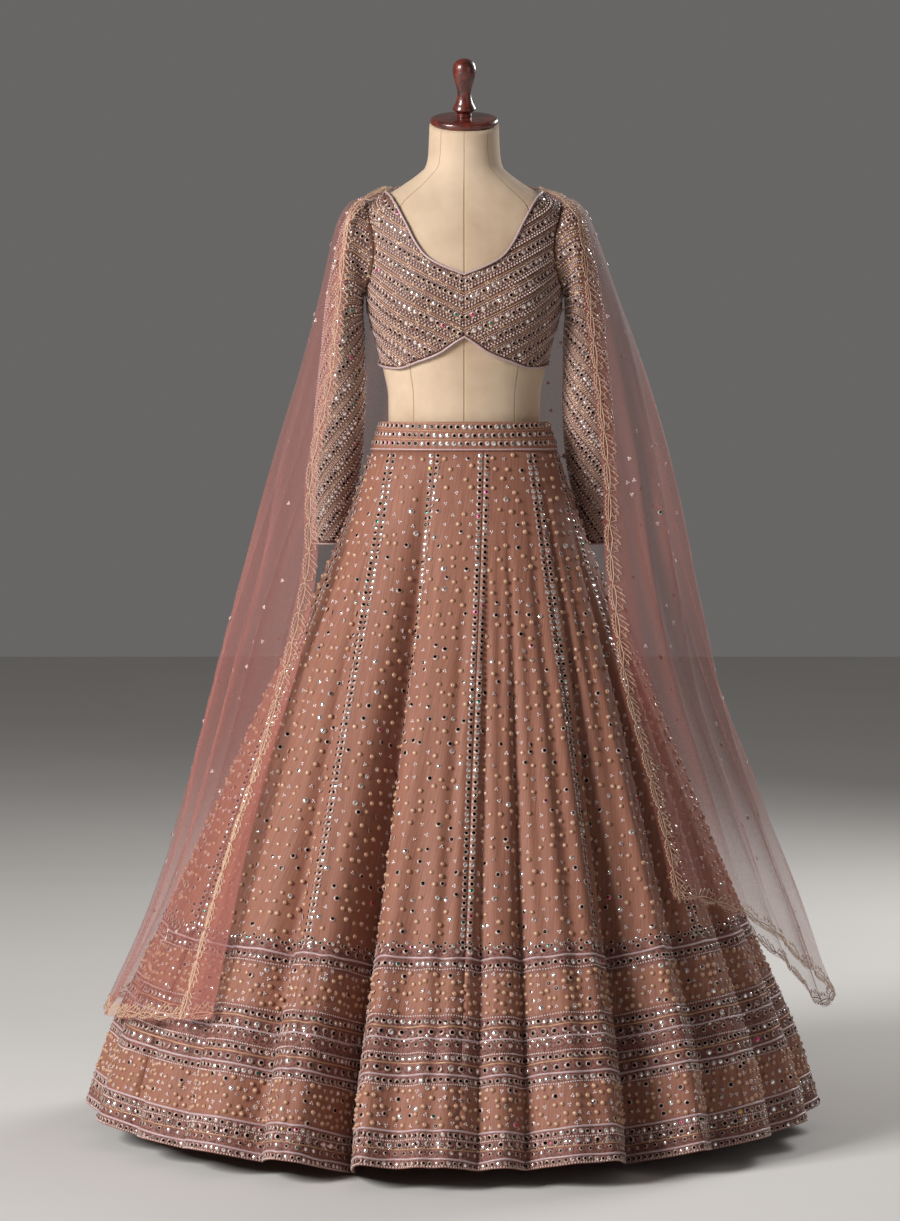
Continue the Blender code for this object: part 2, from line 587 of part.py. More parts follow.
def build_dupatta(net):
    left, right = drape_side(-1, LEFT_DRAPE, LEFT_HEM), drape_side(1, RIGHT_DRAPE, RIGHT_HEM)
    outer = np.concatenate([left, right[:, -2::-1]], 1)
    inner = outer + skin_normals(outer) * NET_CLOTH
    last = outer.shape[1] - 1
    cuts = [0, FALL_COLUMNS, last - FALL_COLUMNS, last]
    for name, first, end in zip(("dupatta_left", "dupatta_back", "dupatta_right"), cuts, cuts[1:]):
        add_wall(name, [(cut_piece(outer, first, end), cut_piece(inner, first, end))], net)


def build():
    for old in list(bpy.data.objects):
        bpy.data.objects.remove(old)
    canvas = material("canvas", (0.62, 0.52, 0.38), 0.85)
    wood = material("polished_wood", (0.10, 0.022, 0.012), 0.25)
    steel = material("black_steel", (0.03, 0.03, 0.03), 0.45, 0.6)
    rose = material("rose_georgette", (0.38, 0.17, 0.12), 0.70)
    beaded = material("beaded_georgette", (0.36, 0.19, 0.14), 0.55)
    piping = material("satin_piping", (0.58, 0.44, 0.45), 0.45)
    net = material("rose_net", (0.55, 0.25, 0.22), 0.60, 0.0, 0.45)
    build_form(canvas)
    build_stand(wood, steel)
    build_choli(beaded, piping)
    build_sleeves(beaded)
    build_waistband(beaded)
    build_skirt(rose)
    build_dupatta(net)


build()
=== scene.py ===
import math

import bpy
import numpy as np
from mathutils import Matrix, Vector


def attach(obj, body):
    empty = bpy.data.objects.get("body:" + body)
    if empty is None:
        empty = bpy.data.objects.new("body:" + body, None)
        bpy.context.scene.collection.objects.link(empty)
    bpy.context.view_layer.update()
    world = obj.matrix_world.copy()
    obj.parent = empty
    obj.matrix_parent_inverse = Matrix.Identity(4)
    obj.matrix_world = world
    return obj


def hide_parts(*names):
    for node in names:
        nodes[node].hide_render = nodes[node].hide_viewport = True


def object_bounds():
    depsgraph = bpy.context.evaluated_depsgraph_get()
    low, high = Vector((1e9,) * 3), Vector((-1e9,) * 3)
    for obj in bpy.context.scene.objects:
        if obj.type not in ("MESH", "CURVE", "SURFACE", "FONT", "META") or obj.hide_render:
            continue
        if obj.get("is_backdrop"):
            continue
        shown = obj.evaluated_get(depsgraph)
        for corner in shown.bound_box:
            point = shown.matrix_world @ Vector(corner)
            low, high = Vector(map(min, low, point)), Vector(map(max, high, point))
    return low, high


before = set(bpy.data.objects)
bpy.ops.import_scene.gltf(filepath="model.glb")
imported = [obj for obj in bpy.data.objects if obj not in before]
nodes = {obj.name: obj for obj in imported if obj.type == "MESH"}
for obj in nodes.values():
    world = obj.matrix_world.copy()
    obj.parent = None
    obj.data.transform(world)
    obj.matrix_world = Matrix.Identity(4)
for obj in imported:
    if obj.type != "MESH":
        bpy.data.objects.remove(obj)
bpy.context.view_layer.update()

# The studio: a plain pale floor, one large soft light on the viewer's left, weaker ones on the right and
# behind, and a portrait lens at waist height. The wearer's front faces -Y; +X is the viewer's right.


def linear(hex_colour):
    """An sRGB hex colour as linear red, green, blue and alpha."""
    parts = [int(hex_colour[n:n + 2], 16) / 255 for n in (1, 3, 5)]
    return [p / 12.92 if p <= 0.04045 else ((p + 0.055) / 1.055) ** 2.4 for p in parts] + [1.0]


def add_node(tree, kind, inputs=(), **settings):
    """Adds a node with its settings; inputs gives each named socket a value or the output it links from."""
    node = tree.nodes.new(kind)
    for name, value in settings.items():
        setattr(node, name, value)
    for socket, value in dict(inputs).items():
        if isinstance(value, bpy.types.NodeSocket):
            tree.links.new(value, node.inputs[socket])
        else:
            node.inputs[socket].default_value = value
    return node


def new_finish(name):
    """A new material with an empty node tree."""
    finish = bpy.data.materials.new(name)
    finish.use_nodes = True
    finish.node_tree.nodes.clear()
    return finish, finish.node_tree


def mix(tree, share, low, high):
    """The colour that far between two, each a hex colour or an output."""
    low, high = (linear(end) if isinstance(end, str) else end for end in (low, high))
    return add_node(tree, "ShaderNodeMix", {
        "Factor": share, "A": low, "B": high}, data_type="RGBA").outputs["Result"]


def noise(tree, place, scale, detail, **more):
    """A noise over a surface, as its share from 0 to 1."""
    return add_node(tree, "ShaderNodeTexNoise", {
        "Vector": place, "Scale": scale, "Detail": detail, **more}).outputs["Fac"]


def cover(tree, inputs, height=None, strength=None, depth=None):
    """Ends a finish in its shader; a height raises the surface by that strength and depth."""
    if height is not None:
        bump = add_node(tree, "ShaderNodeBump", {"Strength": strength, "Distance": depth, "Height": height})
        inputs = {**inputs, "Normal": bump.outputs["Normal"]}
    shader = add_node(tree, "ShaderNodeBsdfPrincipled", inputs)
    add_node(tree, "ShaderNodeOutputMaterial", {"Surface": shader.outputs["BSDF"]})


def two_tone(name, low, high, scale, detail, inputs, strength=None, depth=None):
    """A finish that wanders between two colours on a noise, which raises its surface where that is given."""
    finish, tree = new_finish(name)
    place = add_node(tree, "ShaderNodeTexCoord").outputs["Object"]
    wander = noise(tree, place, scale, detail)
    cover(tree, {"Base Color": mix(tree, wander, low, high), **inputs},
          wander if strength else None, strength, depth)
    return finish


CAMERA_AT = Vector((-0.0216, -5.97, 1.08))
CAMERA_PITCH = math.radians(2.76)
FOCAL_PIXELS, PHOTO_HEIGHT = 3889, 1221

lens = bpy.data.cameras.new("camera")
lens.sensor_width = 36
lens.lens = FOCAL_PIXELS / PHOTO_HEIGHT * lens.sensor_width
camera = bpy.data.objects.new("camera", lens)
camera.location = CAMERA_AT
camera.rotation_euler = (math.pi / 2 - CAMERA_PITCH, 0, 0)
bpy.context.scene.collection.objects.link(camera)
bpy.context.scene.camera = camera
bpy.context.scene.view_settings.view_transform = "Standard"

LIGHTS = (
    ("key_light", (-3.9, -3.3, 2.9), 1.9, 380),
    ("fill_light", (3.4, -3.6, 1.3), 2.4, 11),
    ("rim_light", (2.4, 2.8, 2.8), 1.6, 95),
)
for name, place, size, watts in LIGHTS:
    lamp = bpy.data.lights.new(name, "AREA")
    lamp.size, lamp.energy = size, watts
    light = bpy.data.objects.new(name, lamp)
    light.location = place
    light.rotation_euler = (Vector((0, 0, 0.85)) - light.location).to_track_quat("-Z", "Y").to_euler()
    bpy.context.scene.collection.objects.link(light)

studio = bpy.data.worlds.new("studio")
studio.use_nodes = True
studio.node_tree.nodes["Background"].inputs["Color"].default_value = linear("#D8D5D2")
studio.node_tree.nodes["Background"].inputs["Strength"].default_value = 0.20
bpy.context.scene.world = studio

# Painted studio floor: matt, with a faint cloudiness where it has been walked on
floor_paint = two_tone("painted_floor", "#CFCBC7", "#D8D5D1", 1.3, 3, {"Roughness": 0.85})

FLOOR_SIZE = 24.0
bpy.ops.mesh.primitive_plane_add(size=FLOOR_SIZE, location=(0, 0, 0))
floor = bpy.context.object
floor.name = "floor"
floor.data.materials.append(floor_paint)
floor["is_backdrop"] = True

# The dress form: a padded torso under tightly sewn cream canvas, with a seam down the centre and one over
# each breast, and no limbs. It is cut at the neck under a turned cap and stands on a pole.


def table(columns, rows):
    """A short table as one array for each named column."""
    return dict(zip(columns.split(), np.array(rows, float).T))


def read(data, key, column, at):
    """Reads a table's column at a key value, on a smooth curve that never overshoots the rows."""
    xs, ys = data[key], data[column]
    at = np.clip(np.asarray(at, float), xs[0], xs[-1])
    step, rise = np.diff(xs), np.diff(ys)
    slope = rise / step
    both = slope[:-1] * slope[1:]
    inner = np.where(both > 0, 2 * both / np.where(both > 0, slope[:-1] + slope[1:], 1), 0)
    tangent = np.concatenate([slope[:1], inner, slope[-1:]])
    i = np.clip(np.searchsorted(xs, at, side="right") - 1, 0, len(step) - 1)
    t = (at - xs[i]) / step[i]
    start = ys[i] * (1 + 2 * t) * (1 - t) ** 2 + ys[i + 1] * t * t * (3 - 2 * t)
    return start + step[i] * (tangent[i] * t * (1 - t) ** 2 - tangent[i + 1] * t * t * (1 - t))


def blend(a, b, share):
    return a + (b - a) * share


def unit(vectors):
    return vectors / np.maximum(np.linalg.norm(vectors, axis=-1, keepdims=True), 1e-12)


NECK_TOP, NECK_FOOT = 1.535, 1.490
NECK_TILT = math.radians(16)
FORM = table("z half_width front back", [
    (0.840, 0.150, 0.098, 0.108), (0.870, 0.160, 0.106, 0.118), (0.920, 0.163, 0.108, 0.122),
    (0.975, 0.156, 0.104, 0.115), (1.037, 0.1398, 0.0960, 0.0990), (1.083, 0.1160, 0.087, 0.081),
    (1.120, 0.1165, 0.087, 0.079), (1.165, 0.1245, 0.093, 0.081), (1.196, 0.1285, 0.099, 0.084),
    (1.235, 0.1400, 0.108, 0.088), (1.265, 0.1455, 0.112, 0.091), (1.300, 0.1480, 0.108, 0.094),
    (1.345, 0.1500, 0.095, 0.096), (1.385, 0.1510, 0.080, 0.091), (1.402, 0.1490, 0.073, 0.085),
    (1.412, 0.1430, 0.068, 0.081), (1.420, 0.1320, 0.065, 0.078), (1.4285, 0.1180, 0.062, 0.073),
    (1.4367, 0.1035, 0.059, 0.069), (1.447, 0.0880, 0.0565, 0.065), (1.458, 0.0725, 0.0550, 0.061),
    (1.4707, 0.0590, 0.0540, 0.0570), (1.490, 0.0550, 0.0535, 0.0550), (1.550, 0.0525, 0.0525, 0.0525)])
BUST_LIFT, BUST_ANGLE, BUST_SPREAD = 0.011, 36.0, 19.0
BUST_HEIGHT, BUST_REACH = 1.262, 0.048


def bust_lift(turn, z):
    """How far the bust stands out of the form's plain ovals."""
    off = np.abs((turn + 180) % 360 - 180) - BUST_ANGLE
    return BUST_LIFT * np.exp(-(off / BUST_SPREAD) ** 2 - ((z - BUST_HEIGHT) / BUST_REACH) ** 2)


def form_point(turn, z):
    """A point on the form's skin; turn is in degrees from the front, towards +X."""
    turn = (np.asarray(turn, float) + 180) % 360 - 180
    z = np.asarray(z, float)
    angle = np.radians(turn)
    depth = np.where(np.abs(turn) <= 90, read(FORM, "z", "front", z), read(FORM, "z", "back", z))
    bust = bust_lift(turn, z)
    x = (read(FORM, "z", "half_width", z) + bust) * np.sin(angle)
    y = -(depth + bust) * np.cos(angle)
    return np.stack(np.broadcast_arrays(x, y, z), -1)


def form_offset(turn, z, distance):
    """A point that far outside the form's skin, along its normal."""
    around = form_point(np.add(turn, 0.5), z) - form_point(np.subtract(turn, 0.5), z)
    up = form_point(turn, np.add(z, 0.002)) - form_point(turn, np.subtract(z, 0.002))
    return form_point(turn, z) + unit(np.cross(around, up)) * np.asarray(distance, float)[..., None]


def add_piece(name, points, faces, finishes, worn=None, replaces=()):
    """A mesh piece that rides on the part; worn gives each face the number of its finish."""
    mesh = bpy.data.meshes.new(name)
    mesh.from_pydata(np.asarray(points).tolist(), [], [list(f) for f in np.asarray(faces, int).tolist()])
    for finish in finishes:
        mesh.materials.append(finish)
    if worn is not None:
        mesh.polygons.foreach_set("material_index", np.asarray(worn, np.int32))
    mesh.shade_smooth()
    piece = bpy.data.objects.new(name, mesh)
    bpy.context.scene.collection.objects.link(piece)
    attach(piece, "root")
    if replaces:
        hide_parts(*replaces)
    return piece


def mark(piece, name, values):
    """Keeps a number, or a vector, for each point of a piece, for its finish to read."""
    values = np.asarray(values, np.float32)
    kind, field = ("FLOAT", "value") if values.ndim == 1 else ("FLOAT_VECTOR", "vector")
    piece.data.attributes.new(name, kind, "POINT").data.foreach_set(field, values.ravel())


def tube_faces(rows, columns, closed=True, start=0):
    """The outward faces of a grid of points, numbered row by row from the top and from left to right."""
    ids = start + np.arange(rows * columns).reshape(rows, columns)
    if closed:
        ids = np.concatenate([ids, ids[:, :1]], 1)
    return np.stack([ids[:-1, :-1], ids[1:, :-1], ids[1:, 1:], ids[:-1, 1:]], -1).reshape(-1, 4)


# Cotton canvas, plain woven and stretched: matt, slightly uneven cream, with a fine grid of threads.
# The threads are 0.6 mm and drawn at 1.6 mm so that they show; a wave texture's bands are 2 pi / 20 / scale
# apart.
canvas, tree = new_finish("cotton_canvas")
WEAVE_SCALE = 2 * math.pi / 0.0016 / 20
place = add_node(tree, "ShaderNodeTexCoord").outputs["Object"]
weft = add_node(tree, "ShaderNodeTexWave", {
    "Vector": place, "Scale": WEAVE_SCALE, "Distortion": 1.2, "Detail": 2}, bands_direction="Z")
warp = add_node(tree, "ShaderNodeTexWave", {
    "Vector": place, "Scale": WEAVE_SCALE, "Distortion": 1.2, "Detail": 2}, bands_direction="X")
weave = add_node(tree, "ShaderNodeMath", {
    0: weft.outputs["Fac"], 1: warp.outputs["Fac"]}, operation="MAXIMUM")
age = noise(tree, place, 9.0, 5, Roughness=0.6)
aged = add_node(tree, "ShaderNodeMapRange", {"Value": age, "From Min": 0.35, "From Max": 0.70})
cream = mix(tree, aged.outputs["Result"], "#D2B99E", "#B99D81")
SEAM_HALF_WIDTH = 0.0016
from_seam = add_node(tree, "ShaderNodeAttribute", attribute_name="from_seam")
in_seam = add_node(tree, "ShaderNodeMapRange", {
    "Value": from_seam.outputs["Fac"], "From Min": 0.0, "From Max": SEAM_HALF_WIDTH,
    "To Min": 1.0, "To Max": 0.0})
darker = mix(tree, in_seam.outputs["Result"], cream, "#A08862")
raised = add_node(tree, "ShaderNodeMath", {
    0: in_seam.outputs["Result"], 1: -3.0, 2: weave.outputs[0]}, operation="MULTIPLY_ADD")
cover(tree, {"Base Color": darker, "Roughness": 0.88, "Sheen Weight": 0.15, "Sheen Roughness": 0.5},
      raised.outputs[0], 0.6, 0.0005)

# The form's mean radius turns degrees from a seam into metres along the canvas
FORM_SIDES, FORM_REACH = 96, 0.12
FORM_SEAMS = (0.0, 41.25, 90.0, 138.75, 180.0)
turns = np.linspace(-180, 180, FORM_SIDES, endpoint=False)
levels = np.concatenate([np.linspace(NECK_TOP, NECK_FOOT, 6)[:-1], np.linspace(NECK_FOOT, FORM["z"][0], 90)])
rings = np.array([form_point(turns, z) for z in levels])
lean = np.clip((rings[..., 2] - NECK_FOOT) / (NECK_TOP - NECK_FOOT), 0, 1) * math.tan(NECK_TILT)
rings[..., 2] += lean * rings[..., 1]
ends = [rings[0].mean(0) + (rings[0] - rings[0].mean(0)) * 0.03]
feet = [rings[-1] * (share, share, 1) for share in (0.97, 0.75, 0.02)]
rings = np.concatenate([ends, rings, feet])
dress_form = add_piece("dress_form", rings.reshape(-1, 3), tube_faces(len(rings), FORM_SIDES), [canvas],
                       replaces=["form_torso"])
nearest = np.min([np.abs(np.abs(turns) - seam) for seam in FORM_SEAMS], axis=0)
mark(dress_form, "from_seam", np.broadcast_to(
    np.radians(nearest) * FORM_REACH, rings.shape[:2]).ravel())

# The neck cap and its finial: two turnings of a dense red-brown hardwood, stained and lacquered. The finial
# is screwed through the cap, and both lean forward with the cut of the neck.

# Lacquered rosewood, turned and polished: long dark pores under a clear glossy coat
rosewood, tree = new_finish("lacquered_rosewood")
PORE_LENGTH, PORE_WIDTH = 0.030, 0.0016
place = add_node(tree, "ShaderNodeTexCoord").outputs["Object"]
stretch = add_node(tree, "ShaderNodeMapping", {
    "Vector": place, "Scale": (1 / PORE_WIDTH, 1 / PORE_WIDTH, 1 / PORE_LENGTH)})
pores = noise(tree, stretch.outputs["Vector"], 1.0, 4)
figure = noise(tree, place, 45.0, 3, Distortion=1.5)
grain = add_node(tree, "ShaderNodeMath", {0: pores, 1: figure}, operation="MULTIPLY")
tone = add_node(tree, "ShaderNodeMapRange", {"Value": grain.outputs[0], "From Min": 0.12, "From Max": 0.42})
red = mix(tree, tone.outputs["Result"], "#2E0B06", "#7A2A18")
cover(tree, {"Base Color": red, "Roughness": 0.38, "Coat Weight": 0.7, "Coat Roughness": 0.08})

SEAM_GAP = 0.0003
TURNED_SIDES = 64
CAP_PROFILE = table("radius height", [
    (0.0010, 0.0), (0.048, 0.0), (0.0498, 0.0008), (0.0512, 0.0025), (0.0520, 0.006), (0.0515, 0.0083),
    (0.0505, 0.0097), (0.046, 0.0112), (0.030, 0.0120), (0.018, 0.0124), (0.0010, 0.0125)])
FINIAL_PROFILE = table("radius height", [
    (0.0010, 0.0), (0.0110, 0.0), (0.0111, 0.0030), (0.0112, 0.0054), (0.0145, 0.0084), (0.0170, 0.0102),
    (0.0178, 0.0114), (0.0177, 0.0126), (0.0170, 0.0142), (0.0158, 0.0168), (0.0140, 0.020),
    (0.0125, 0.0240), (0.0112, 0.029), (0.0104, 0.036), (0.0118, 0.0445), (0.0145, 0.054),
    (0.0170, 0.0635), (0.0178, 0.0705), (0.0168, 0.078), (0.0135, 0.084), (0.0050, 0.0885),
    (0.0006, 0.0890)])


def add_turning(name, profile, foot, finish, replaces):
    """A turned piece on the neck's leaning axis, with its profile smoothed between the table's rows."""
    rows = dict(row=np.arange(len(profile["radius"]), dtype=float), **profile)
    fine = np.linspace(len(profile["radius"]) - 1, 0, 3 * len(profile["radius"]))
    radius, height = read(rows, "row", "radius", fine), read(rows, "row", "height", fine)
    turn = np.linspace(-math.pi, math.pi, TURNED_SIDES, endpoint=False)
    x = np.outer(radius, np.sin(turn))
    y = -np.outer(radius, np.cos(turn))
    z = np.broadcast_to(height[:, None], x.shape)
    lean_y = y * math.cos(NECK_TILT) - z * math.sin(NECK_TILT)
    lean_z = y * math.sin(NECK_TILT) + z * math.cos(NECK_TILT)
    points = np.stack([x, lean_y, lean_z], -1).reshape(-1, 3) + foot
    return add_piece(name, points, tube_faces(len(fine), TURNED_SIDES), [finish],
                     replaces=replaces)


neck_axis = np.array((0, -math.sin(NECK_TILT), math.cos(NECK_TILT)))
cap_foot = np.array((0, 0, NECK_TOP)) + SEAM_GAP * neck_axis
finial_foot = cap_foot + (CAP_PROFILE["height"][-1] + SEAM_GAP) * neck_axis
add_turning("turned_neck_cap", CAP_PROFILE, cap_foot, rosewood, ["neck_cap"])
add_turning("turned_finial", FINIAL_PROFILE, finial_foot, rosewood, ["finial"])

# The stand: a steel tube in a round steel foot, both powder coated black. The skirt hides them from the
# front.

# Powder-coated steel: baked paint over metal, so not metallic itself, with a fine orange peel
coated_steel, tree = new_finish("powder_coated_steel")
place = add_node(tree, "ShaderNodeTexCoord").outputs["Object"]
peel = noise(tree, place, 700.0, 2)
cover(tree, {"Base Color": linear("#1B1B1C"), "Roughness": 0.42}, peel, 0.25, 0.0002)
for name in ("pole", "base"):
    nodes[name].material_slots[0].material = coated_steel

# The choli: a cropped bodice of rose georgette, cut close to the form, with a deep scooped neck and a hem
# that rises to a point at the centre. Its front and back meet at the sides and shoulders.


def skin_normals(grid, closed=False):
    """The normal at each point of a grid of rows from top to bottom and columns from left to right."""
    around = np.roll(grid, -1, 1) - np.roll(grid, 1, 1) if closed else np.gradient(grid, axis=1)
    return unit(np.cross(np.gradient(grid, axis=0), around))


def cloth_wall(outer, inner, closed=False):
    """Points and faces of a cloth wall between two grids of points, closed along its cut edges."""
    rows, columns = outer.shape[:2]
    count = rows * columns
    skin = tube_faces(rows, columns, closed)
    ids = np.arange(count).reshape(rows, columns)
    if closed:
        ids = np.concatenate([ids, ids[:, :1]], 1)
    edges = [ids[0, ::-1], ids[-1]] + ([] if closed else [ids[:, 0], ids[::-1, -1]])
    rims = [np.stack([e[1:], e[:-1], e[:-1] + count, e[1:] + count], -1) for e in edges]
    return np.concatenate([outer.reshape(-1, 3), inner.reshape(-1, 3)]), np.concatenate(
        [skin, skin[:, ::-1] + count] + rims)


def cut_size(outer):
    """The flat size of a cloth grid: its widest row, its mean length, and its area."""
    width = np.linalg.norm(np.diff(outer, axis=1), axis=-1).sum(1).max()
    length = np.linalg.norm(np.diff(outer, axis=0), axis=-1).sum(0).max()
    across, down = np.diff(outer, axis=1)[:-1], np.diff(outer, axis=0)[:, :-1]
    return width, length, np.linalg.norm(np.cross(across, down), axis=-1).sum()


# Georgette filled with seed beads and knotted thread: a rough brown ground, with a painted glint, a pale
# colour, on about one seed in fourteen.
# The seeds are 1.5 mm and drawn at 2.2 mm.
bodice_cloth, tree = new_finish("seed_beaded_georgette")
SEED_GROUND = 0.0022


def seed_ground(tree, place, low, high):
    """A ground filled with seed beads: its colour, a second random number for each seed, and its height."""
    seeds = add_node(tree, "ShaderNodeTexVoronoi", {"Vector": place, "Scale": 1 / SEED_GROUND})
    hue = add_node(tree, "ShaderNodeSeparateColor", {"Color": seeds.outputs["Color"]})
    dome = add_node(tree, "ShaderNodeMapRange", {
        "Value": seeds.outputs["Distance"], "From Max": 0.6, "To Min": 1.0, "To Max": 0.0})
    return mix(tree, hue.outputs["Red"], low, high), hue.outputs["Green"], dome.outputs["Result"]


place = add_node(tree, "ShaderNodeTexCoord").outputs["Object"]
warm, chance, dome = seed_ground(tree, place, "#472C23", "#855D4C")
# Painted glint: about one seed in fourteen gets a pale colour that stands in for a highlight
painted_glint = add_node(tree, "ShaderNodeMath", {0: chance, 1: 0.93}, operation="GREATER_THAN")
ground = mix(tree, painted_glint.outputs[0], warm, "#E2C9A6")
cover(tree, {"Base Color": ground, "Roughness": 0.50}, dome, 0.8, 0.0007)

CHOLI_CLOTH = 0.0020
CHOLI_EASE, BUST_EASE = 0.0018, 0.0022
ARMHOLE_MIDDLE, ARMHOLE_HALF, ARMHOLE_SWEEP, ARMHOLE_REACH = 1.3465, 0.0665, 27.0, 0.100
UNDERARM = ARMHOLE_MIDDLE - ARMHOLE_HALF
SIDE_SEAM = 90.0
FRONT_NECK = table("share turn z", [
    (0.0, 0, 1.3020), (0.125, 12, 1.3140), (0.25, 22, 1.3290), (0.375, 29.5, 1.3540), (0.5, 36, 1.3840),
    (0.625, 44, 1.4080), (0.75, 56, 1.4200), (0.875, 72, 1.4262), (1.0, 90, 1.4285)])
BACK_NECK = table("share turn z", [
    (0.0, 0, 1.3400), (0.125, 13, 1.3435), (0.25, 24, 1.3550), (0.375, 32, 1.3715), (0.5, 39, 1.3895),
    (0.625, 47, 1.4070), (0.75, 58, 1.4188), (0.875, 73, 1.4252), (1.0, 90, 1.4285)])
FRONT_HEM = table("turn z", [
    (0, 1.2110), (5, 1.2040), (17, 1.1860), (31, 1.1745), (51, 1.1640), (72, 1.1670), (90, 1.1720)])
BACK_HEM = table("turn z", [(0, 1.1720), (90, 1.1720)])


def choli_skin(turn, z, lift=CHOLI_CLOTH):
    """A point that far above the choli's inner skin, which clears the form a little more over the bust."""
    ease = CHOLI_EASE + BUST_EASE / BUST_LIFT * bust_lift(turn, z)
    return form_offset(turn, z, ease + lift)


def armhole(share, inside=0.0):
    """The armhole's edge, from underarm to shoulder: degrees in front of the side seam, and height."""
    angle = math.pi * (1 - share)
    sweep = ARMHOLE_SWEEP - math.degrees(inside / ARMHOLE_REACH)
    return sweep * np.sin(angle), ARMHOLE_MIDDLE + (ARMHOLE_HALF - inside) * np.cos(angle)


BODICE_COLUMNS, BODICE_ROWS, YOKE_ROWS = 32, 14, 32


def add_bodice(name, neck, hem, behind, node):
    """The front or the back: a block on each side from the hem past the underarm to the shoulder."""
    points, faces, area = [], [], 0.0
    shares = np.linspace(0, 1, BODICE_COLUMNS + 1)
    seam = SIDE_SEAM - np.degrees(SEAM_GAP / 2 / 0.07)
    for side in (1, -1):
        rows = []
        for level in np.linspace(0, 1, BODICE_ROWS + 1):
            turn = shares * seam
            top = UNDERARM + (neck["z"][0] - UNDERARM) * (1 - shares) ** 2
            rows.append((turn, blend(read(hem, "turn", "z", turn), top, level)))
        for level in np.linspace(0, 1, YOKE_ROWS + 1)[1:]:
            before, height = armhole(level)
            inner = min(read(neck, "share", "turn", level), seam)
            outer = min(SIDE_SEAM - before, seam)
            rows.append((blend(inner, outer, shares),
                         blend(read(neck, "share", "z", level), height, shares)))
        turn = np.array([r[0] for r in rows])[::-1]
        z = np.array([r[1] for r in rows])[::-1]
        turn = side * np.where(behind, 180 - turn, turn)
        if (side < 0) != behind:
            turn, z = turn[:, ::-1], z[:, ::-1]
        outer, inner = choli_skin(turn, z), choli_skin(turn, z, 0.0)
        wall_points, wall_faces = cloth_wall(outer, inner)
        faces.append(wall_faces + sum(len(p) for p in points))
        points.append(wall_points)
        area += cut_size(outer)[2]
    piece = add_piece(name, np.concatenate(points), np.concatenate(faces), [bodice_cloth],
                      replaces=[node])
    return piece, area


choli_front, front_area = add_bodice("choli_front_cloth", FRONT_NECK, FRONT_HEM, False, "choli_front")
choli_back, back_area = add_bodice("choli_back_cloth", BACK_NECK, BACK_HEM, True, "choli_back")

# The choli's embroidery: chevrons that meet in a V at the centre. Each repeat has a row of small round
# mirrors in thread rings, two rows of pearls, and couched gold cords, all sewn through the georgette.


def on_skin(skin, row, column):
    """Place, outward normal and sideways direction at fractional rows and columns of a skin's grid."""
    row = np.clip(row, 0, skin.shape[0] - 1.001)
    column = np.clip(column, 0, skin.shape[1] - 1.001)
    r, c = np.asarray(row).astype(int), np.asarray(column).astype(int)
    down_share, side_share = (row - r)[..., None], (column - c)[..., None]
    top = blend(skin[r, c], skin[r, c + 1], side_share)
    low = blend(skin[r + 1, c], skin[r + 1, c + 1], side_share)
    side = blend(skin[r, c + 1] - skin[r, c], skin[r + 1, c + 1] - skin[r + 1, c], down_share)
    return blend(top, low, down_share), unit(np.cross(low - top, side)), unit(side)


def spaced(skin, row, column, gap):
    """Rows and columns of places a gap apart along a line drawn on a skin."""
    at = on_skin(skin, row, column)[0]
    run = np.concatenate([[0], np.cumsum(np.linalg.norm(np.diff(at, axis=0), axis=1))])
    count = max(int(round(run[-1] / gap)), 1)
    where = (np.arange(count) + 0.5) * run[-1] / count
    return np.interp(where, run, row), np.interp(where, run, column)


def stretches(inside):
    """The slices of a line where it lies inside a piece."""
    edges = np.flatnonzero(np.diff(np.concatenate([[0], inside.astype(int), [0]])))
    return [slice(a, b) for a, b in zip(edges[::2], edges[1::2]) if b - a > 3]


def turned_shape(profile, sides, top_finish=0):
    """A small turned shape of rings, its top flat, or pointed where the last radius is 0."""
    points, faces, worn = [], [], []
    turn = np.linspace(0, 2 * math.pi, sides, endpoint=False)
    for radius, height in profile:
        if radius > 0:
            points += [(radius * math.cos(t), radius * math.sin(t), height) for t in turn]
        else:
            points.append((0, 0, height))
    rings = sum(radius > 0 for radius, _ in profile)
    for ring in range(rings - 1):
        for n in range(sides):
            m = (n + 1) % sides
            low, high = ring * sides, (ring + 1) * sides
            faces += [(low + n, low + m, high + m), (low + n, high + m, high + n)]
            worn += [0, 0]
    last = (rings - 1) * sides
    if profile[-1][0] > 0:
        faces += [(last, last + n, last + n + 1) for n in range(1, sides - 1)]
        worn += [top_finish] * (sides - 2)
    else:
        faces += [(last + n, last + (n + 1) % sides, rings * sides) for n in range(sides)]
        worn += [0] * sides
    return np.array(points, float), np.array(faces), np.array(worn)


def joined_shapes(*shapes):
    """Several small shapes as one."""
    points, faces, worn, count = [], [], [], 0
    for p, f, w in shapes:
        points.append(p)
        faces.append(f + count)
        worn.append(w)
        count += len(p)
    return np.concatenate(points), np.concatenate(faces), np.concatenate(worn)


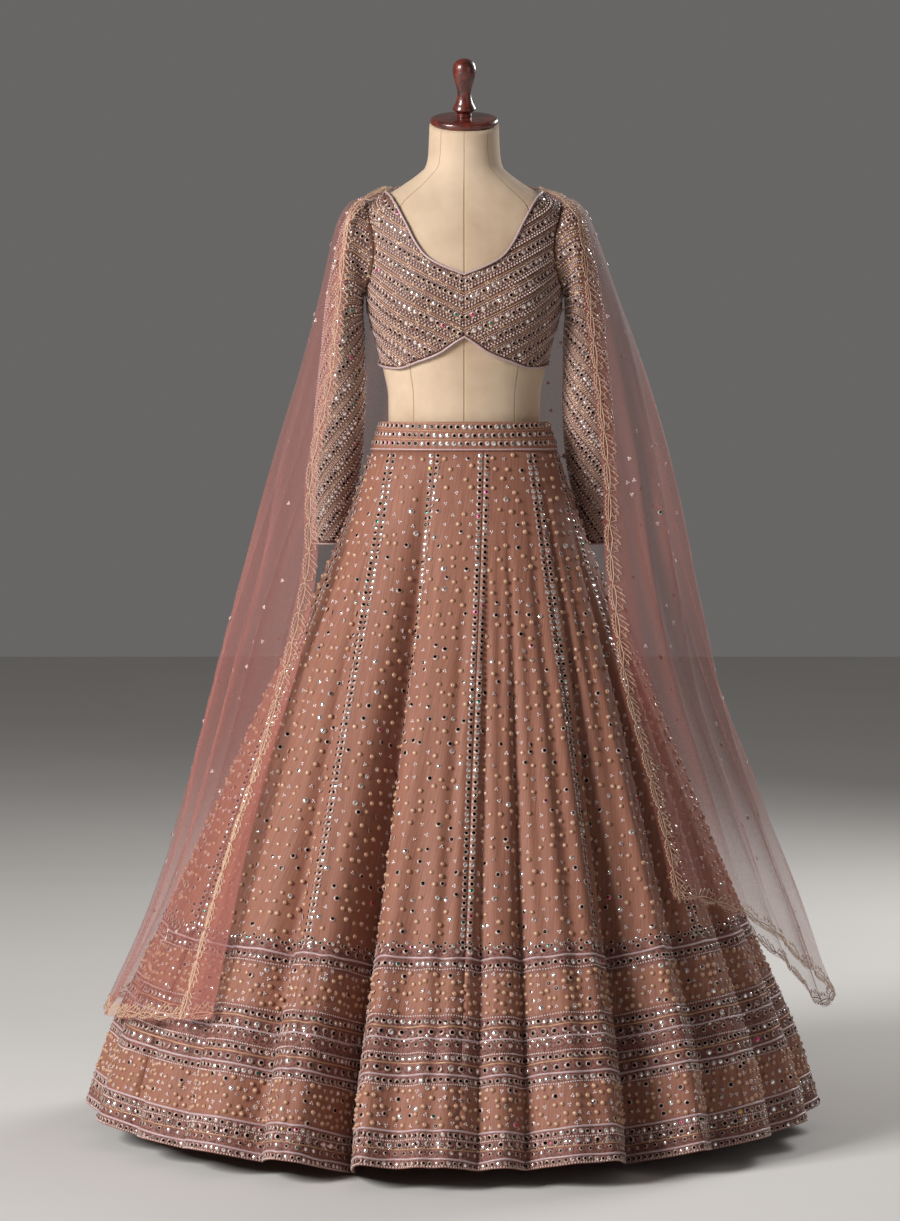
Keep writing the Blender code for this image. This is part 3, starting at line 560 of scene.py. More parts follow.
def sew(shape, size, skin, row, column, rng, tilt=0.0, tones=None):
    """Copies of a small shape at places on a skin: their points, faces, and each face's finish."""
    at, out, side = on_skin(skin, np.asarray(row, float), np.asarray(column, float))
    count = len(at)
    out = unit(out + tilt * rng.normal(size=out.shape))
    spin = rng.uniform(0, 2 * math.pi, count)[:, None]
    along = unit(side - out * np.sum(side * out, 1, keepdims=True))
    across = np.cross(out, along)
    along, across = along * np.cos(spin) + across * np.sin(spin), across * np.cos(spin) - along * np.sin(spin)
    points, faces, worn = shape
    scale = np.broadcast_to(size, (count,))[:, None, None]
    placed = at[:, None] + scale * np.einsum("kj,nji->nki", points, np.stack([along, across, out], 1))
    numbered = faces[None] + (np.arange(count) * len(points))[:, None, None]
    finish = np.broadcast_to(worn, (count, len(worn))).copy()
    if tones is not None:
        finish += np.where(worn > 0, rng.choice(len(tones), count, p=tones)[:, None], 0)
    return placed.reshape(-1, 3), numbered.reshape(-1, faces.shape[1]), finish.ravel()


def sewn_row(shape, size, skin, row, column, gap, rng, tilt=0.0, tones=None):
    """Copies of a small shape sewn a gap apart along a line drawn on a skin."""
    return sew(shape, size, skin, *spaced(skin, row, column, gap), rng, tilt, tones)


def thread_strip(at, out, width, height, rounded=False):
    """A thread laid along a line of places with their normals: an arched strip of points and faces."""
    across = unit(np.cross(out, np.gradient(at, axis=0)))
    arch = [(-0.5, -0.1), (-0.35, 0.7), (0.0, 1.0), (0.35, 0.7), (0.5, -0.1)] if rounded else [
        (-0.5, -0.1), (0.0, 1.0), (0.5, -0.1)]
    strip = np.stack([at + across * width * a + out * height * h for a, h in arch], 1)
    faces = tube_faces(len(at), len(arch), closed=False)
    return strip.reshape(-1, 3), faces


def couched_cord(skin, row, column, width, height, rounded=False):
    """A cord laid on a skin along a line and stitched down."""
    return thread_strip(*on_skin(skin, row, column)[:2], width, height, rounded)


def gather(parts):
    """Many (points, faces, ...) parts as one set of arrays."""
    count, points, faces, rest = 0, [], [], []
    for part in parts:
        points.append(part[0])
        faces.append(part[1] + count)
        rest.append(part[2] if len(part) > 2 else np.zeros(len(part[1]), int))
        count += len(part[0])
    return np.concatenate(points), np.concatenate(faces), np.concatenate(rest)


def add_sewn(name, parts, finishes):
    """One piece of many small parts."""
    points, faces, worn = gather(parts)
    add_piece(name, points, faces, finishes, worn)


# Gilt thread: gold-lacquered foil wound on a core, so a broken metallic shine in soft old gold
gold_thread = two_tone("gilt_thread", "#875D41", "#D3A583", 1 / 0.0015, 2, {
    "Roughness": 0.48, "Metallic": 0.2}, 0.6, 0.0005)

# Silver-pink thread: the paler, pinker twist that rings the mirrors
pale_thread = two_tone("silver_pink_thread", "#68453D", "#D9BDB0", 1 / 0.0013, 2, {
    "Roughness": 0.45, "Metallic": 0.25}, 0.7, 0.0005)

# Imitation pearl: a lacquered glass bead, milky pink-white under a clear gloss
pearl = two_tone("lacquered_pearl", "#A88883", "#D8C2BD", 120.0, 1, {
    "Roughness": 0.28, "Coat Weight": 0.6, "Coat Roughness": 0.1})

# Mirror discs: thin blown glass silvered on the back. Each disc draws a metallic colour: most are near black
# or grey, a painted dark reflection of the room, some are plain white silver that catches the light, and a
# few are silvered over pink, green or amber foil. Each row is a colour and its weight in the draw.
MIRROR_FOILS_AND_PAINTED_REFLECTIONS = (
    ("#151312", 50), ("#3E3A38", 12), ("#8A8480", 8), ("#FFFFFF", 31), ("#E0327F", 1.5), ("#2C8F7C", 1.0),
    ("#C09A34", 0.5))
foil_and_painted_reflection_colours = np.array([linear(colour) for colour, _ in MIRROR_FOILS_AND_PAINTED_REFLECTIONS])
foil_and_painted_reflection_shares = np.array([share for _, share in MIRROR_FOILS_AND_PAINTED_REFLECTIONS]) / sum(share for _, share in MIRROR_FOILS_AND_PAINTED_REFLECTIONS)
mirror_glass, tree = new_finish("silvered_mirror_glass")
# The near-black and grey colours in this attribute are painted dark reflections; the pink, green and amber
# ones are foil
foil_and_painted_reflection = add_node(tree, "ShaderNodeAttribute", attribute_name="foil_and_painted_reflection")
place = add_node(tree, "ShaderNodeTexCoord").outputs["Object"]
ripple = noise(tree, place, 260.0, 1)
cover(tree, {"Base Color": foil_and_painted_reflection.outputs["Color"], "Metallic": 1.0, "Roughness": 0.16},
      ripple, 0.15, 0.0004)


def add_mirrors(name, parts):
    """A piece of ringed mirrors: the rings of thread, and the discs, each with its drawn colour: a foil,
    plain silver, or a painted dark reflection.
    """
    points, faces, worn = gather(parts)
    piece = add_piece(name, points, faces, [pale_thread, mirror_glass], np.minimum(worn, 1))
    colours = foil_and_painted_reflection_colours[np.maximum(worn - 1, 0)].astype(np.float32)
    foil_and_painted_reflection_layer = piece.data.attributes.new("foil_and_painted_reflection", "FLOAT_COLOR", "FACE")
    foil_and_painted_reflection_layer.data.foreach_set("color", colours.ravel())


# The mirror lies in its thread ring, a pearl stands on the cloth, and beads and seeds are low domes
RINGED_MIRROR = turned_shape([(1.0, 0.0), (0.58, 0.36)], 8, top_finish=1)
PEARL = turned_shape([(0.95, 0.15), (0.80, 1.0), (0.0, 1.45)], 5)
BEAD = turned_shape([(1.0, 0.1), (0.0, 1.25)], 7)
SEED = turned_shape([(1.0, 0.1), (0.0, 1.3)], 5)
SEED_SIZE, SEED_GAP = 0.0011, 0.0031

BODICE_TOP, BODICE_BOTTOM, BODICE_LEVELS, BODICE_TURNS = 1.432, 1.160, 140, 288
bodice_z = np.linspace(BODICE_TOP, BODICE_BOTTOM, BODICE_LEVELS + 1)
bodice_turn = np.linspace(-180, 180, BODICE_TURNS + 1)
bodice_skin = choli_skin(*np.broadcast_arrays(bodice_turn[None, :], bodice_z[:, None]))
reach = choli_skin(bodice_turn, np.full(bodice_turn.shape, 1.27))
bodice_arc = np.concatenate([[0], np.cumsum(np.linalg.norm(np.diff(reach, axis=0), axis=1))])
bodice_arc -= bodice_arc[BODICE_TURNS // 2]
SIDE_ARC = np.interp(SIDE_SEAM, bodice_turn, bodice_arc)
BACK_ARC = bodice_arc[-1] - SIDE_ARC

CHEVRON_TOP, CHEVRON_PERIOD, CHEVRON_SLOPE = 1.2902, 0.0262, 0.48
CHEVRONS = range(-6, 10)
MIRROR_GAP, MIRROR_SIZE, PEARL_GAP, PEARL_SIZE = 0.0092, 0.0042, 0.0053, 0.0019
# How unevenly the sewn mirrors lie, and what each chevron has below its mirrors: pearl rows, a cord, seeds
BODICE_TILT = 0.07
CHEVRON_PEARLS, CHEVRON_CORD, CHEVRON_SEEDS = ((0.0070, 0.0015), (0.0112, PEARL_SIZE)), 0.0163, 0.0198
EDGE_MARGIN = 0.0035


def inside_choli(turn, z):
    """Whether a place is on the choli's cloth, clear of its neck, hem and armholes."""
    front = np.abs(turn) <= SIDE_SEAM
    off = np.where(front, np.abs(turn), 180 - np.abs(turn))
    low = np.where(front, read(FRONT_HEM, "turn", "z", off), read(BACK_HEM, "turn", "z", off))
    neck = np.where(front, read(FRONT_NECK, "turn", "z", off), read(BACK_NECK, "turn", "z", off))
    part = np.clip((z - ARMHOLE_MIDDLE) / ARMHOLE_HALF, -1, 1)
    arm = SIDE_SEAM - np.where(z > UNDERARM, ARMHOLE_SWEEP * np.sqrt(1 - part ** 2) + 1.6, -1.0)
    return (z > low + EDGE_MARGIN) & (z < neck - EDGE_MARGIN) & (off < arm)


def chevron(drop):
    """Rows and columns on the bodice of one chevron line, both ways from the centre, where it is on cloth."""
    lines = []
    for side in (-1, 1):
        for behind in (False, True):
            share = np.linspace(0, 1, 220)
            turn = share * SIDE_SEAM if not behind else 180 - share * SIDE_SEAM
            arc = np.interp(turn, bodice_turn, bodice_arc)
            if behind:
                arc = (bodice_arc[-1] - arc) * SIDE_ARC / BACK_ARC
            z = CHEVRON_TOP - drop + CHEVRON_SLOPE * arc
            row = (BODICE_TOP - z) / (BODICE_TOP - BODICE_BOTTOM) * BODICE_LEVELS
            column = (side * turn + 180) / 360 * BODICE_TURNS
            for part in stretches(inside_choli(side * turn, z)):
                lines.append((row[part], column[part]))
    return lines


rng = np.random.default_rng(11)
mirror_parts, pearl_parts, cord_parts, seed_parts = [], [], [], []
for repeat in CHEVRONS:
    drop = repeat * CHEVRON_PERIOD
    for row, column in chevron(drop):
        mirror_parts.append(sewn_row(
            RINGED_MIRROR, MIRROR_SIZE, bodice_skin, row, column, MIRROR_GAP, rng, BODICE_TILT, foil_and_painted_reflection_shares))
    for offset, size in CHEVRON_PEARLS:
        for row, column in chevron(drop + offset):
            pearl_parts.append(sewn_row(PEARL, size, bodice_skin, row, column, PEARL_GAP, rng))
    for row, column in chevron(drop + CHEVRON_CORD):
        cord_parts.append(couched_cord(bodice_skin, row[::4], column[::4], 0.0016, 0.0010))
    for row, column in chevron(drop + CHEVRON_SEEDS):
        seed_parts.append(sewn_row(SEED, SEED_SIZE, bodice_skin, row, column, SEED_GAP, rng))
add_mirrors("choli_mirrors", mirror_parts)
add_sewn("choli_pearls", pearl_parts + seed_parts, [pearl])
add_sewn("choli_gold_cords", cord_parts, [gold_thread])

# The sleeves: long, narrow and slightly bent, set into the armholes, with the same rows running round them
# on the slant and rising towards the body in front. A satin piping finishes the cuff.

SLEEVE = table("x_in z_in x_out z_out y_mid half_depth", [
    (0.1550, 1.2720, 0.1660, 1.4105, 0.000, 0.0460), (0.1560, 1.2560, 0.1830, 1.3860, 0.000, 0.0500),
    (0.1560, 1.2370, 0.1975, 1.3350, 0.001, 0.0510), (0.1540, 1.2150, 0.2105, 1.2650, 0.003, 0.0490),
    (0.1530, 1.1650, 0.2185, 1.1850, 0.008, 0.0460), (0.1530, 1.0950, 0.2280, 1.1000, 0.020, 0.0420),
    (0.1590, 1.0200, 0.2330, 1.0200, 0.038, 0.0400), (0.1725, 0.9550, 0.2345, 0.9550, 0.060, 0.0365),
    (0.1830, 0.8920, 0.2350, 0.8920, 0.084, 0.0340)])
SLEEVE_CLOTH, SLEEVE_SEAM = 0.0016, 0.0005
SLEEVE_SIDES, SLEEVE_FINER_AROUND, SLEEVE_FINER_DOWN = 16, 4, 7
SLEEVE_START = (CHOLI_EASE, CHOLI_EASE + CHOLI_CLOTH + 0.0015)


def refined(grid, spans, axis, closed=False):
    """The grid with that many spans where it had one, on a smooth curve through its points."""
    line = np.moveaxis(grid, axis, 0)
    if closed:
        line = np.concatenate([line[-1:], line, line[:2]])
    else:
        line = np.concatenate([2 * line[:1] - line[1:2], line, 2 * line[-1:] - line[-2:-1]])
    a, b, c, d = line[:-3], line[1:-2], line[2:-1], line[3:]
    fine = np.stack([0.5 * (2 * b + (c - a) * t + (2 * a - 5 * b + 4 * c - d) * t ** 2
                            + (3 * b - a - 3 * c + d) * t ** 3) for t in np.arange(spans) / spans], 1)
    fine = fine.reshape(-1, *line.shape[1:])
    if not closed:
        fine = np.concatenate([fine, line[-2:-1]])
    return np.moveaxis(fine, 0, axis)


def sleeve_skin(side, inset):
    """The sleeve's rings from armhole to cuff; inset is 0 outside and the cloth's thickness inside."""
    turns = np.linspace(0, 2 * math.pi, SLEEVE_SIDES, endpoint=False)
    share = np.arccos(np.clip(-np.cos(turns), -1, 1)) / math.pi
    before, height = armhole(share, SLEEVE_SEAM + inset)
    turn = SIDE_SEAM - np.sign(np.sin(turns)) * before
    rings = [form_offset(turn, height, np.full(turn.shape, away)) for away in SLEEVE_START]
    for n in range(len(SLEEVE["x_in"])):
        low = np.array((SLEEVE["x_in"][n], SLEEVE["y_mid"][n], SLEEVE["z_in"][n]))
        high = np.array((SLEEVE["x_out"][n], SLEEVE["y_mid"][n], SLEEVE["z_out"][n]))
        across = unit(high - low)
        half = np.linalg.norm(high - low) / 2 - inset
        depth = SLEEVE["half_depth"][n] - inset
        rings.append((low + high) / 2 + np.outer(np.cos(turns) * half, across)
                     + np.outer(-np.sin(turns) * depth, (0, 1, 0)))
    rings = np.array(rings) * (side, 1, 1)
    rings = np.roll(rings if side < 0 else rings[:, ::-1], SLEEVE_SIDES // 2, 1)
    rings = refined(rings, SLEEVE_FINER_AROUND, 1, closed=True)
    return np.concatenate([rings[:1], refined(rings[1:], SLEEVE_FINER_DOWN, 0)])


# Satin piping: bias-cut satin round a cord, so a soft shine that runs along it, in pale mauve pink
satin = two_tone("satin_piping_cloth", "#A08081", "#CDB4B5", 1 / 0.003, 2, {
    "Roughness": 0.38, "Sheen Weight": 0.3}, 0.4, 0.0005)


def cord_tube(route, radius, sides=8):
    """A round cord along a closed route: its points and faces."""
    ahead = unit(np.roll(route, -1, 0) - np.roll(route, 1, 0))
    outward = unit(route - route.mean(0) - ahead * np.sum((route - route.mean(0)) * ahead, 1)[:, None])
    across = np.cross(ahead, outward)
    turn = np.linspace(0, 2 * math.pi, sides, endpoint=False)[:, None, None]
    rings = route + radius * (outward * np.cos(turn) + across * np.sin(turn))
    faces = tube_faces(sides, len(route))
    loop = np.arange(len(route))
    last = (sides - 1) * len(route)
    after = np.roll(loop, -1)
    closing = np.stack([last + loop, loop, after, last + after], -1)
    return rings.reshape(-1, 3), np.concatenate([faces, closing])


SLANT_PERIOD, SLANT_RISE = 0.0405, 0.33
SLANT_PEARLS, SLANT_CORDS, SLANT_SEEDS = (0.0095, 0.0310), (0.0150, 0.0255), (0.0185, 0.0220, 0.0355)
SLEEVE_EDGE = 0.006
CUFF_PIPING = 0.0014
for name, side, node in (("left", -1, "sleeve_left"), ("right", 1, "sleeve_right")):
    outer, inner = sleeve_skin(side, 0.0), sleeve_skin(side, SLEEVE_CLOTH)
    points, faces = cloth_wall(outer, inner, closed=True)
    piece = add_piece(f"sleeve_{name}_cloth", points, faces, [bodice_cloth],
                      replaces=[node])
    skin = np.concatenate([outer, outer[:, :1]], 1)
    down = np.concatenate([[0], np.cumsum(np.linalg.norm(np.diff(skin, axis=0), axis=-1).mean(1))])

    def slanted(drop):
        """Rows and columns of one line round the sleeve from its underarm seam, where it is on cloth."""
        share = np.linspace(0, 1, 160)
        length = drop + side * SLANT_RISE * (share - 0.5)
        row = np.interp(length, down, np.arange(len(down)))
        return [(row[part], share[part] * outer.shape[1])
                for part in stretches((length > SLEEVE_EDGE) & (length < down[-1] - SLEEVE_EDGE))]

    mirror_parts, pearl_parts, cord_parts = [], [], []
    for drop in np.arange(-0.16, down[-1] + 0.18, SLANT_PERIOD):
        for row, column in slanted(drop):
            mirror_parts.append(sewn_row(
                RINGED_MIRROR, MIRROR_SIZE, skin, row, column, MIRROR_GAP, rng, BODICE_TILT, foil_and_painted_reflection_shares))
        for offset in SLANT_PEARLS:
            for row, column in slanted(drop + offset):
                pearl_parts.append(sewn_row(PEARL, PEARL_SIZE, skin, row, column, PEARL_GAP, rng))
        for offset in SLANT_CORDS:
            for row, column in slanted(drop + offset):
                cord_parts.append(couched_cord(skin, row[::2], column[::2], 0.0017, 0.0010))
        for offset in SLANT_SEEDS:
            for row, column in slanted(drop + offset):
                pearl_parts.append(sewn_row(SEED, SEED_SIZE, skin, row, column, SEED_GAP, rng))
    add_mirrors(f"sleeve_{name}_mirrors", mirror_parts)
    add_sewn(f"sleeve_{name}_pearls", pearl_parts, [pearl])
    add_sewn(f"sleeve_{name}_gold_cords", cord_parts, [gold_thread])
    cuff = outer[-1] + np.array((0, 0, 0.0016)) + skin_normals(outer, closed=True)[-1] * CUFF_PIPING
    points, faces = cord_tube(cuff, CUFF_PIPING)
    add_piece(f"sleeve_{name}_cuff_piping", points, faces, [satin])

# The choli's pipings: one satin-covered cord sewn round the neck and one along the hem.

PIPING_RADIUS = 0.0016
PIPING_LIFT = CHOLI_CLOTH + PIPING_RADIUS + SEAM_GAP


def add_choli_piping(name, turn, z, node):
    """A cord on the choli's skin along a line from the centre front to the centre back, on both sides."""
    turn, z = np.concatenate([turn, -turn[-2:0:-1]]), np.concatenate([z, z[-2:0:-1]])
    points, faces = cord_tube(choli_skin(turn, z, PIPING_LIFT), PIPING_RADIUS)
    add_piece(name, points, faces, [satin], replaces=[node])


share = np.linspace(0, 1, 61)
turn = np.concatenate([read(FRONT_NECK, "share", "turn", share),
                       180 - read(BACK_NECK, "share", "turn", share[-2::-1])])
z = np.concatenate([read(FRONT_NECK, "share", "z", share), read(BACK_NECK, "share", "z", share[-2::-1])])
add_choli_piping("neck_piping_cord", turn, z, "neck_piping")

turn = np.linspace(0, 180, 121)
z = np.where(turn <= SIDE_SEAM, read(FRONT_HEM, "turn", "z", turn), read(BACK_HEM, "turn", "z", 180 - turn))
add_choli_piping("hem_piping_cord", turn, z, "choli_hem_piping")

# The waistband: a stiffened straight band of the same georgette, hugging the hips at its lower edge and
# standing a little off the waist, with three rows of mirrors between fine cords.

WAISTBAND_BOTTOM, WAISTBAND_TOP = 1.037, 1.082
BAND_CLOTH = 0.0026
BAND_EASE = table("z ease", [
    (WAISTBAND_BOTTOM, 0.0011), (1.058, 0.0075), (1.072, 0.0115), (WAISTBAND_TOP, 0.0105)])
BAND_SIDES = 180

# Silk georgette, twisted crepe threads: matt with a soft bloom. The crepe grain is 0.5 mm and is drawn
# at 1.4 mm; the slubs run down the cloth and catch a little more light.
skirt_cloth, tree = new_finish("silk_georgette")
place = add_node(tree, "ShaderNodeTexCoord").outputs["Object"]
grain = noise(tree, place, 1 / 0.0014, 2, Roughness=0.7)
run = add_node(tree, "ShaderNodeAttribute", attribute_name="on_cloth")
stretch = add_node(tree, "ShaderNodeMapping", {
    "Vector": run.outputs["Vector"], "Scale": (1 / 0.0022, 1 / 0.060, 1.0)})
slub = noise(tree, stretch.outputs["Vector"], 1.0, 3, Roughness=0.55)
mixed = add_node(tree, "ShaderNodeMath", {0: grain, 1: 0.45, 2: slub}, operation="MULTIPLY_ADD")
share = add_node(tree, "ShaderNodeMapRange", {
    "Value": mixed.outputs[0], "From Min": 0.50, "From Max": 0.95})
plain = mix(tree, share.outputs["Result"], "#7B4C3D", "#9A6650")
beaded, _, dome = seed_ground(tree, place, "#472722", "#905B4F")
worked = add_node(tree, "ShaderNodeAttribute", attribute_name="worked")
height = add_node(tree, "ShaderNodeMix", {"Factor": worked.outputs["Fac"], "A": mixed.outputs[0], "B": dome})
cover(tree, {
    "Base Color": mix(tree, worked.outputs["Fac"], plain, beaded), "Roughness": 0.70, "Sheen Weight": 0.2,
    "Sheen Roughness": 0.45, "Sheen Tint": linear("#E9C0B0")}, height.outputs["Result"], 0.5, 0.0006)

turns = np.linspace(-180, 180, BAND_SIDES, endpoint=False)
band_levels = np.linspace(WAISTBAND_TOP, WAISTBAND_BOTTOM, 19)


def band_skin(thickness):
    rings = np.array([form_offset(turns, np.full(turns.shape, z), read(BAND_EASE, "z", "ease", z) + thickness
                                  + 0 * turns) for z in band_levels])
    rings[0, :, 2], rings[-1, :, 2] = WAISTBAND_TOP, WAISTBAND_BOTTOM
    return rings


outer, inner = band_skin(BAND_CLOTH), band_skin(0.0)
points, faces = cloth_wall(outer, inner, closed=True)
waistband = add_piece("waistband_cloth", points, faces, [skirt_cloth],
                      replaces=["waistband"])
place = np.stack(np.broadcast_arrays(np.radians(turns)[None, :] * 0.13, band_levels[:, None], 0.0), -1)
mark(waistband, "on_cloth", np.concatenate([place.reshape(-1, 3)] * 2))
skin = np.concatenate([outer, outer[:, :1]], 1)

BAND_MIRROR_ROWS = (0.0345, 0.0215, 0.0100)
BAND_CORD_ROWS = (0.0420, 0.0280, 0.0155)
BAND_MIRROR_SIZE, BAND_MIRROR_GAP, BAND_TILT = 0.0046, 0.0100, 0.08
band_rows = len(band_levels) - 1
column = np.linspace(0, BAND_SIDES, 361)
mirror_parts, cord_parts = [], []
for height in BAND_MIRROR_ROWS:
    row = np.full(column.shape, band_rows * (1 - height / (WAISTBAND_TOP - WAISTBAND_BOTTOM)))
    mirror_parts.append(sewn_row(
        RINGED_MIRROR, BAND_MIRROR_SIZE, skin, row, column, BAND_MIRROR_GAP, rng, BAND_TILT, foil_and_painted_reflection_shares))
for height in BAND_CORD_ROWS:
    row = np.full(column.shape, band_rows * (1 - height / (WAISTBAND_TOP - WAISTBAND_BOTTOM)))
    cord_parts.append(couched_cord(skin, row, column, 0.0014, 0.0008))
add_mirrors("waistband_mirrors", mirror_parts)
add_sewn("waistband_cords", cord_parts, [gold_thread])
row = np.full(column.shape, band_rows - 0.9)
points, faces = couched_cord(skin, row, column, 0.0024, 0.0013, rounded=True)
add_piece("waistband_piping", points, faces, [satin])

# The lehenga: twelve flared panels of rose georgette, seamed from the waistband to the hem and held out as
# if by a stiff underskirt, which doesn't show and isn't built. Its folds deepen from the hip to the hem.

SKIRT_CLOTH = 0.0016
HEM_HEIGHT = 0.040
SEAMS = table("waist hem", [
    (-50.0, -28.5), (-18.0, -20.0), (12, -1), (45, 24), (76, 50), (104, 86), (133, 122), (162, 157),
    (192, 192), (221, 227), (250, 262), (280, 297), (310, 331.5)])
FLARE = table("slant share", [
    (0, 0), (0.072, 0.057), (0.138, 0.114), (0.275, 0.255), (0.351, 0.344), (0.536, 0.542), (0.738, 0.756),
    (0.888, 0.917), (1, 1)])
# Each row is one hanging fold: its place at the hem, its width and depth there, and where it starts
FOLDS = table("hem half_width depth start", [
    (-79, 8.0, 0.030, 0.35), (-61.5, 7.0, 0.030, 0.30), (-48.5, 6.5, 0.026, 0.28), (-34.0, 5.5, 0.042, 0.22),
    (-20.4, 4.6, 0.088, 0.08), (-10.5, 3.6, 0.024, 0.35), (1.8, 4.6, 0.026, 0.30), (9.5, 4.4, 0.036, 0.28),
    (29.5, 6.2, 0.075, 0.26), (45, 6.5, 0.040, 0.25), (61, 7.0, 0.036, 0.25), (77, 7.0, 0.038, 0.30),
    (94, 8.0, 0.042, 0.28), (111, 8.0, 0.046, 0.22), (128, 7.5, 0.040, 0.30), (146, 8.5, 0.052, 0.20),
    (163, 7.5, 0.040, 0.28), (180, 8.0, 0.046, 0.24), (197, 7.5, 0.040, 0.30), (214, 8.5, 0.052, 0.20),
    (231, 7.5, 0.040, 0.28), (248, 8.0, 0.046, 0.24), (265, 8.0, 0.036, 0.30)])
# Each row is a softer crease between the folds, or a narrow one at the bottom of a deep fold
CREASES = table("hem half_width depth start end", [
    (-61.5, 1.8, 0.012, 0.20, 1.5), (-48.5, 1.6, 0.014, 0.12, 1.5), (-34.0, 1.4, 0.020, 0.08, 1.5),
    (-20.8, 1.5, 0.038, 0.00, 1.7), (1.8, 1.1, 0.014, 0.12, 1.6), (9.5, 1.1, 0.016, 0.10, 1.6),
    (29.5, 1.5, 0.024, 0.05, 1.6), (45, 1.6, 0.016, 0.12, 1.5), (61, 1.8, 0.014, 0.14, 1.5),
    (94, 2.0, 0.014, 0.20, 1.5), (111, 2.0, 0.018, 0.12, 1.5), (146, 2.1, 0.018, 0.10, 1.5),
    (180, 2.0, 0.016, 0.14, 1.5), (214, 2.1, 0.018, 0.10, 1.5), (248, 2.0, 0.016, 0.14, 1.5),
    (-86, 3.0, 0.006, 0.12, 1.3), (-70, 2.6, 0.008, 0.16, 1.3), (-55, 2.4, 0.007, 0.08, 1.2),
    (-41, 2.2, 0.009, 0.14, 1.3), (-29.5, 1.6, 0.006, 0.06, 0.9), (-26, 1.5, 0.008, 0.20, 1.3),
    (-15.5, 1.3, 0.007, 0.10, 0.8), (-5, 1.5, 0.009, 0.16, 1.3), (-1.6, 1.2, 0.005, 0.30, 1.0),
    (5.6, 1.4, 0.008, 0.12, 1.3), (13.8, 1.5, 0.009, 0.20, 1.3), (19, 1.7, 0.008, 0.08, 1.1),
    (24.5, 1.6, 0.007, 0.15, 1.3), (35, 2.0, 0.010, 0.10, 1.3), (40, 1.6, 0.006, 0.30, 1.1),
    (53, 2.4, 0.009, 0.12, 1.3), (69, 2.5, 0.008, 0.18, 1.3), (85, 2.8, 0.009, 0.10, 1.2),
    (103, 2.7, 0.008, 0.16, 1.3), (119, 2.8, 0.009, 0.12, 1.3), (137, 3.0, 0.008, 0.08, 1.1),
    (155, 2.9, 0.009, 0.18, 1.3), (171, 2.6, 0.008, 0.10, 1.3), (189, 2.8, 0.009, 0.14, 1.2),
    (206, 3.0, 0.008, 0.20, 1.3), (222, 2.8, 0.009, 0.10, 1.3), (240, 3.0, 0.008, 0.12, 1.1),
    (256, 2.8, 0.009, 0.16, 1.3)])
PANELS = len(SEAMS["waist"]) - 1
PANEL_COLUMNS = 26
BORDER_START = 0.70
skirt_slants = np.concatenate([np.linspace(0, BORDER_START, 39)[:-1], np.linspace(BORDER_START, 1, 57)])
SKIRT_ROWS = len(skirt_slants) - 1
HEM_REACH, HEM_LEAN = 0.573, 0.018
FOLD_SPREAD, FOLD_GROWTH, FOLD_DROP = 1.25, 1.15, 0.75


def hem_radius(hem):
    """The hem's reach on the ridges: a little more on the left than on the right."""
    return HEM_REACH - HEM_LEAN * np.sin(np.radians(hem))


def fold_depth(hem, slant):
    """How far the cloth falls in behind the ridges."""
    total = np.zeros(np.broadcast(hem, slant).shape)
    for centre, half_width, depth, start in zip(*FOLDS.values()):
        off = ((hem - centre + 180) % 360 - 180) / (half_width * FOLD_SPREAD)
        shape = np.cos(np.clip(off, -1, 1) * math.pi / 2) ** 2
        grown = np.clip((slant - start) / (1 - start), 0, 1) ** FOLD_GROWTH
        total = np.maximum(total, depth * shape * grown)
    for centre, half_width, depth, start, end in zip(*CREASES.values()):
        off = ((hem - centre + 180) % 360 - 180) / half_width
        swell = np.sin(np.clip((slant - start) / (end - start), 0, 1) * math.pi) ** 0.8
        total = total + depth * np.exp(-off ** 2) * swell
    return total


def skirt_skin(columns, slants):
    """The skirt's outer skin at cloth columns (0 to 12, whole at the seams) and shares of the slant."""
    waist = np.interp(columns, np.arange(PANELS + 1), SEAMS["waist"])
    hem = np.interp(columns, np.arange(PANELS + 1), SEAMS["hem"])
    level = np.full(np.shape(waist), WAISTBAND_BOTTOM - SEAM_GAP)
    ease = BAND_EASE["ease"][0] + 0.0004 + SKIRT_CLOTH
    top = form_offset(waist, level, np.full(np.shape(waist), ease))
    fine = np.linspace(0, 1, 201)[:, None]
    share = read(FLARE, "slant", "share", fine)
    end, angle = hem_radius(hem), np.radians(hem)
    x = blend(top[:, 0], end * np.sin(angle), share)
    y = blend(top[:, 1], -end * np.cos(angle), share)
    ridge = blend(np.hypot(top[:, 0], top[:, 1]), end, share)
    radius = ridge - fold_depth(hem, fine)
    flat = np.hypot(x, y)
    x, y = x / flat * radius, y / flat * radius
    level = blend(WAISTBAND_BOTTOM - SEAM_GAP, HEM_HEIGHT, fine)
    length = np.hypot(np.diff(ridge, axis=0), np.diff(level, axis=0))
    fall = np.sqrt(np.maximum(length ** 2 - np.diff(radius, axis=0) ** 2, 1e-10))
    sunk = np.cumsum(fall + np.diff(level, axis=0), 0)
    z = level - FOLD_DROP * np.concatenate([np.zeros((1, len(columns))), sunk])
    grid = np.stack([x, y, z], -1)
    at = np.asarray(slants) * 200
    low = np.minimum(at.astype(int), 199)
    part = (at - low)[:, None, None]
    return grid[low] * (1 - part) + grid[low + 1] * part


def cut_panel(grid, first, last):
    """The columns first to last of a grid, with both cut edges drawn in by half a seam gap."""
    piece = grid[:, np.arange(first, last + 1) % grid.shape[1]].copy()
    for edge, inward in ((0, 1), (-1, -2)):
        piece[:, edge] += unit(piece[:, inward] - piece[:, edge]) * SEAM_GAP / 2
    return piece


outer = skirt_skin(np.arange(PANELS * PANEL_COLUMNS) / PANEL_COLUMNS, skirt_slants)
inner = outer - skin_normals(outer, closed=True) * SKIRT_CLOTH
SKIRT_LENGTH = WAISTBAND_BOTTOM - SEAM_GAP - HEM_HEIGHT
CLOTH_LENGTH = 1.1
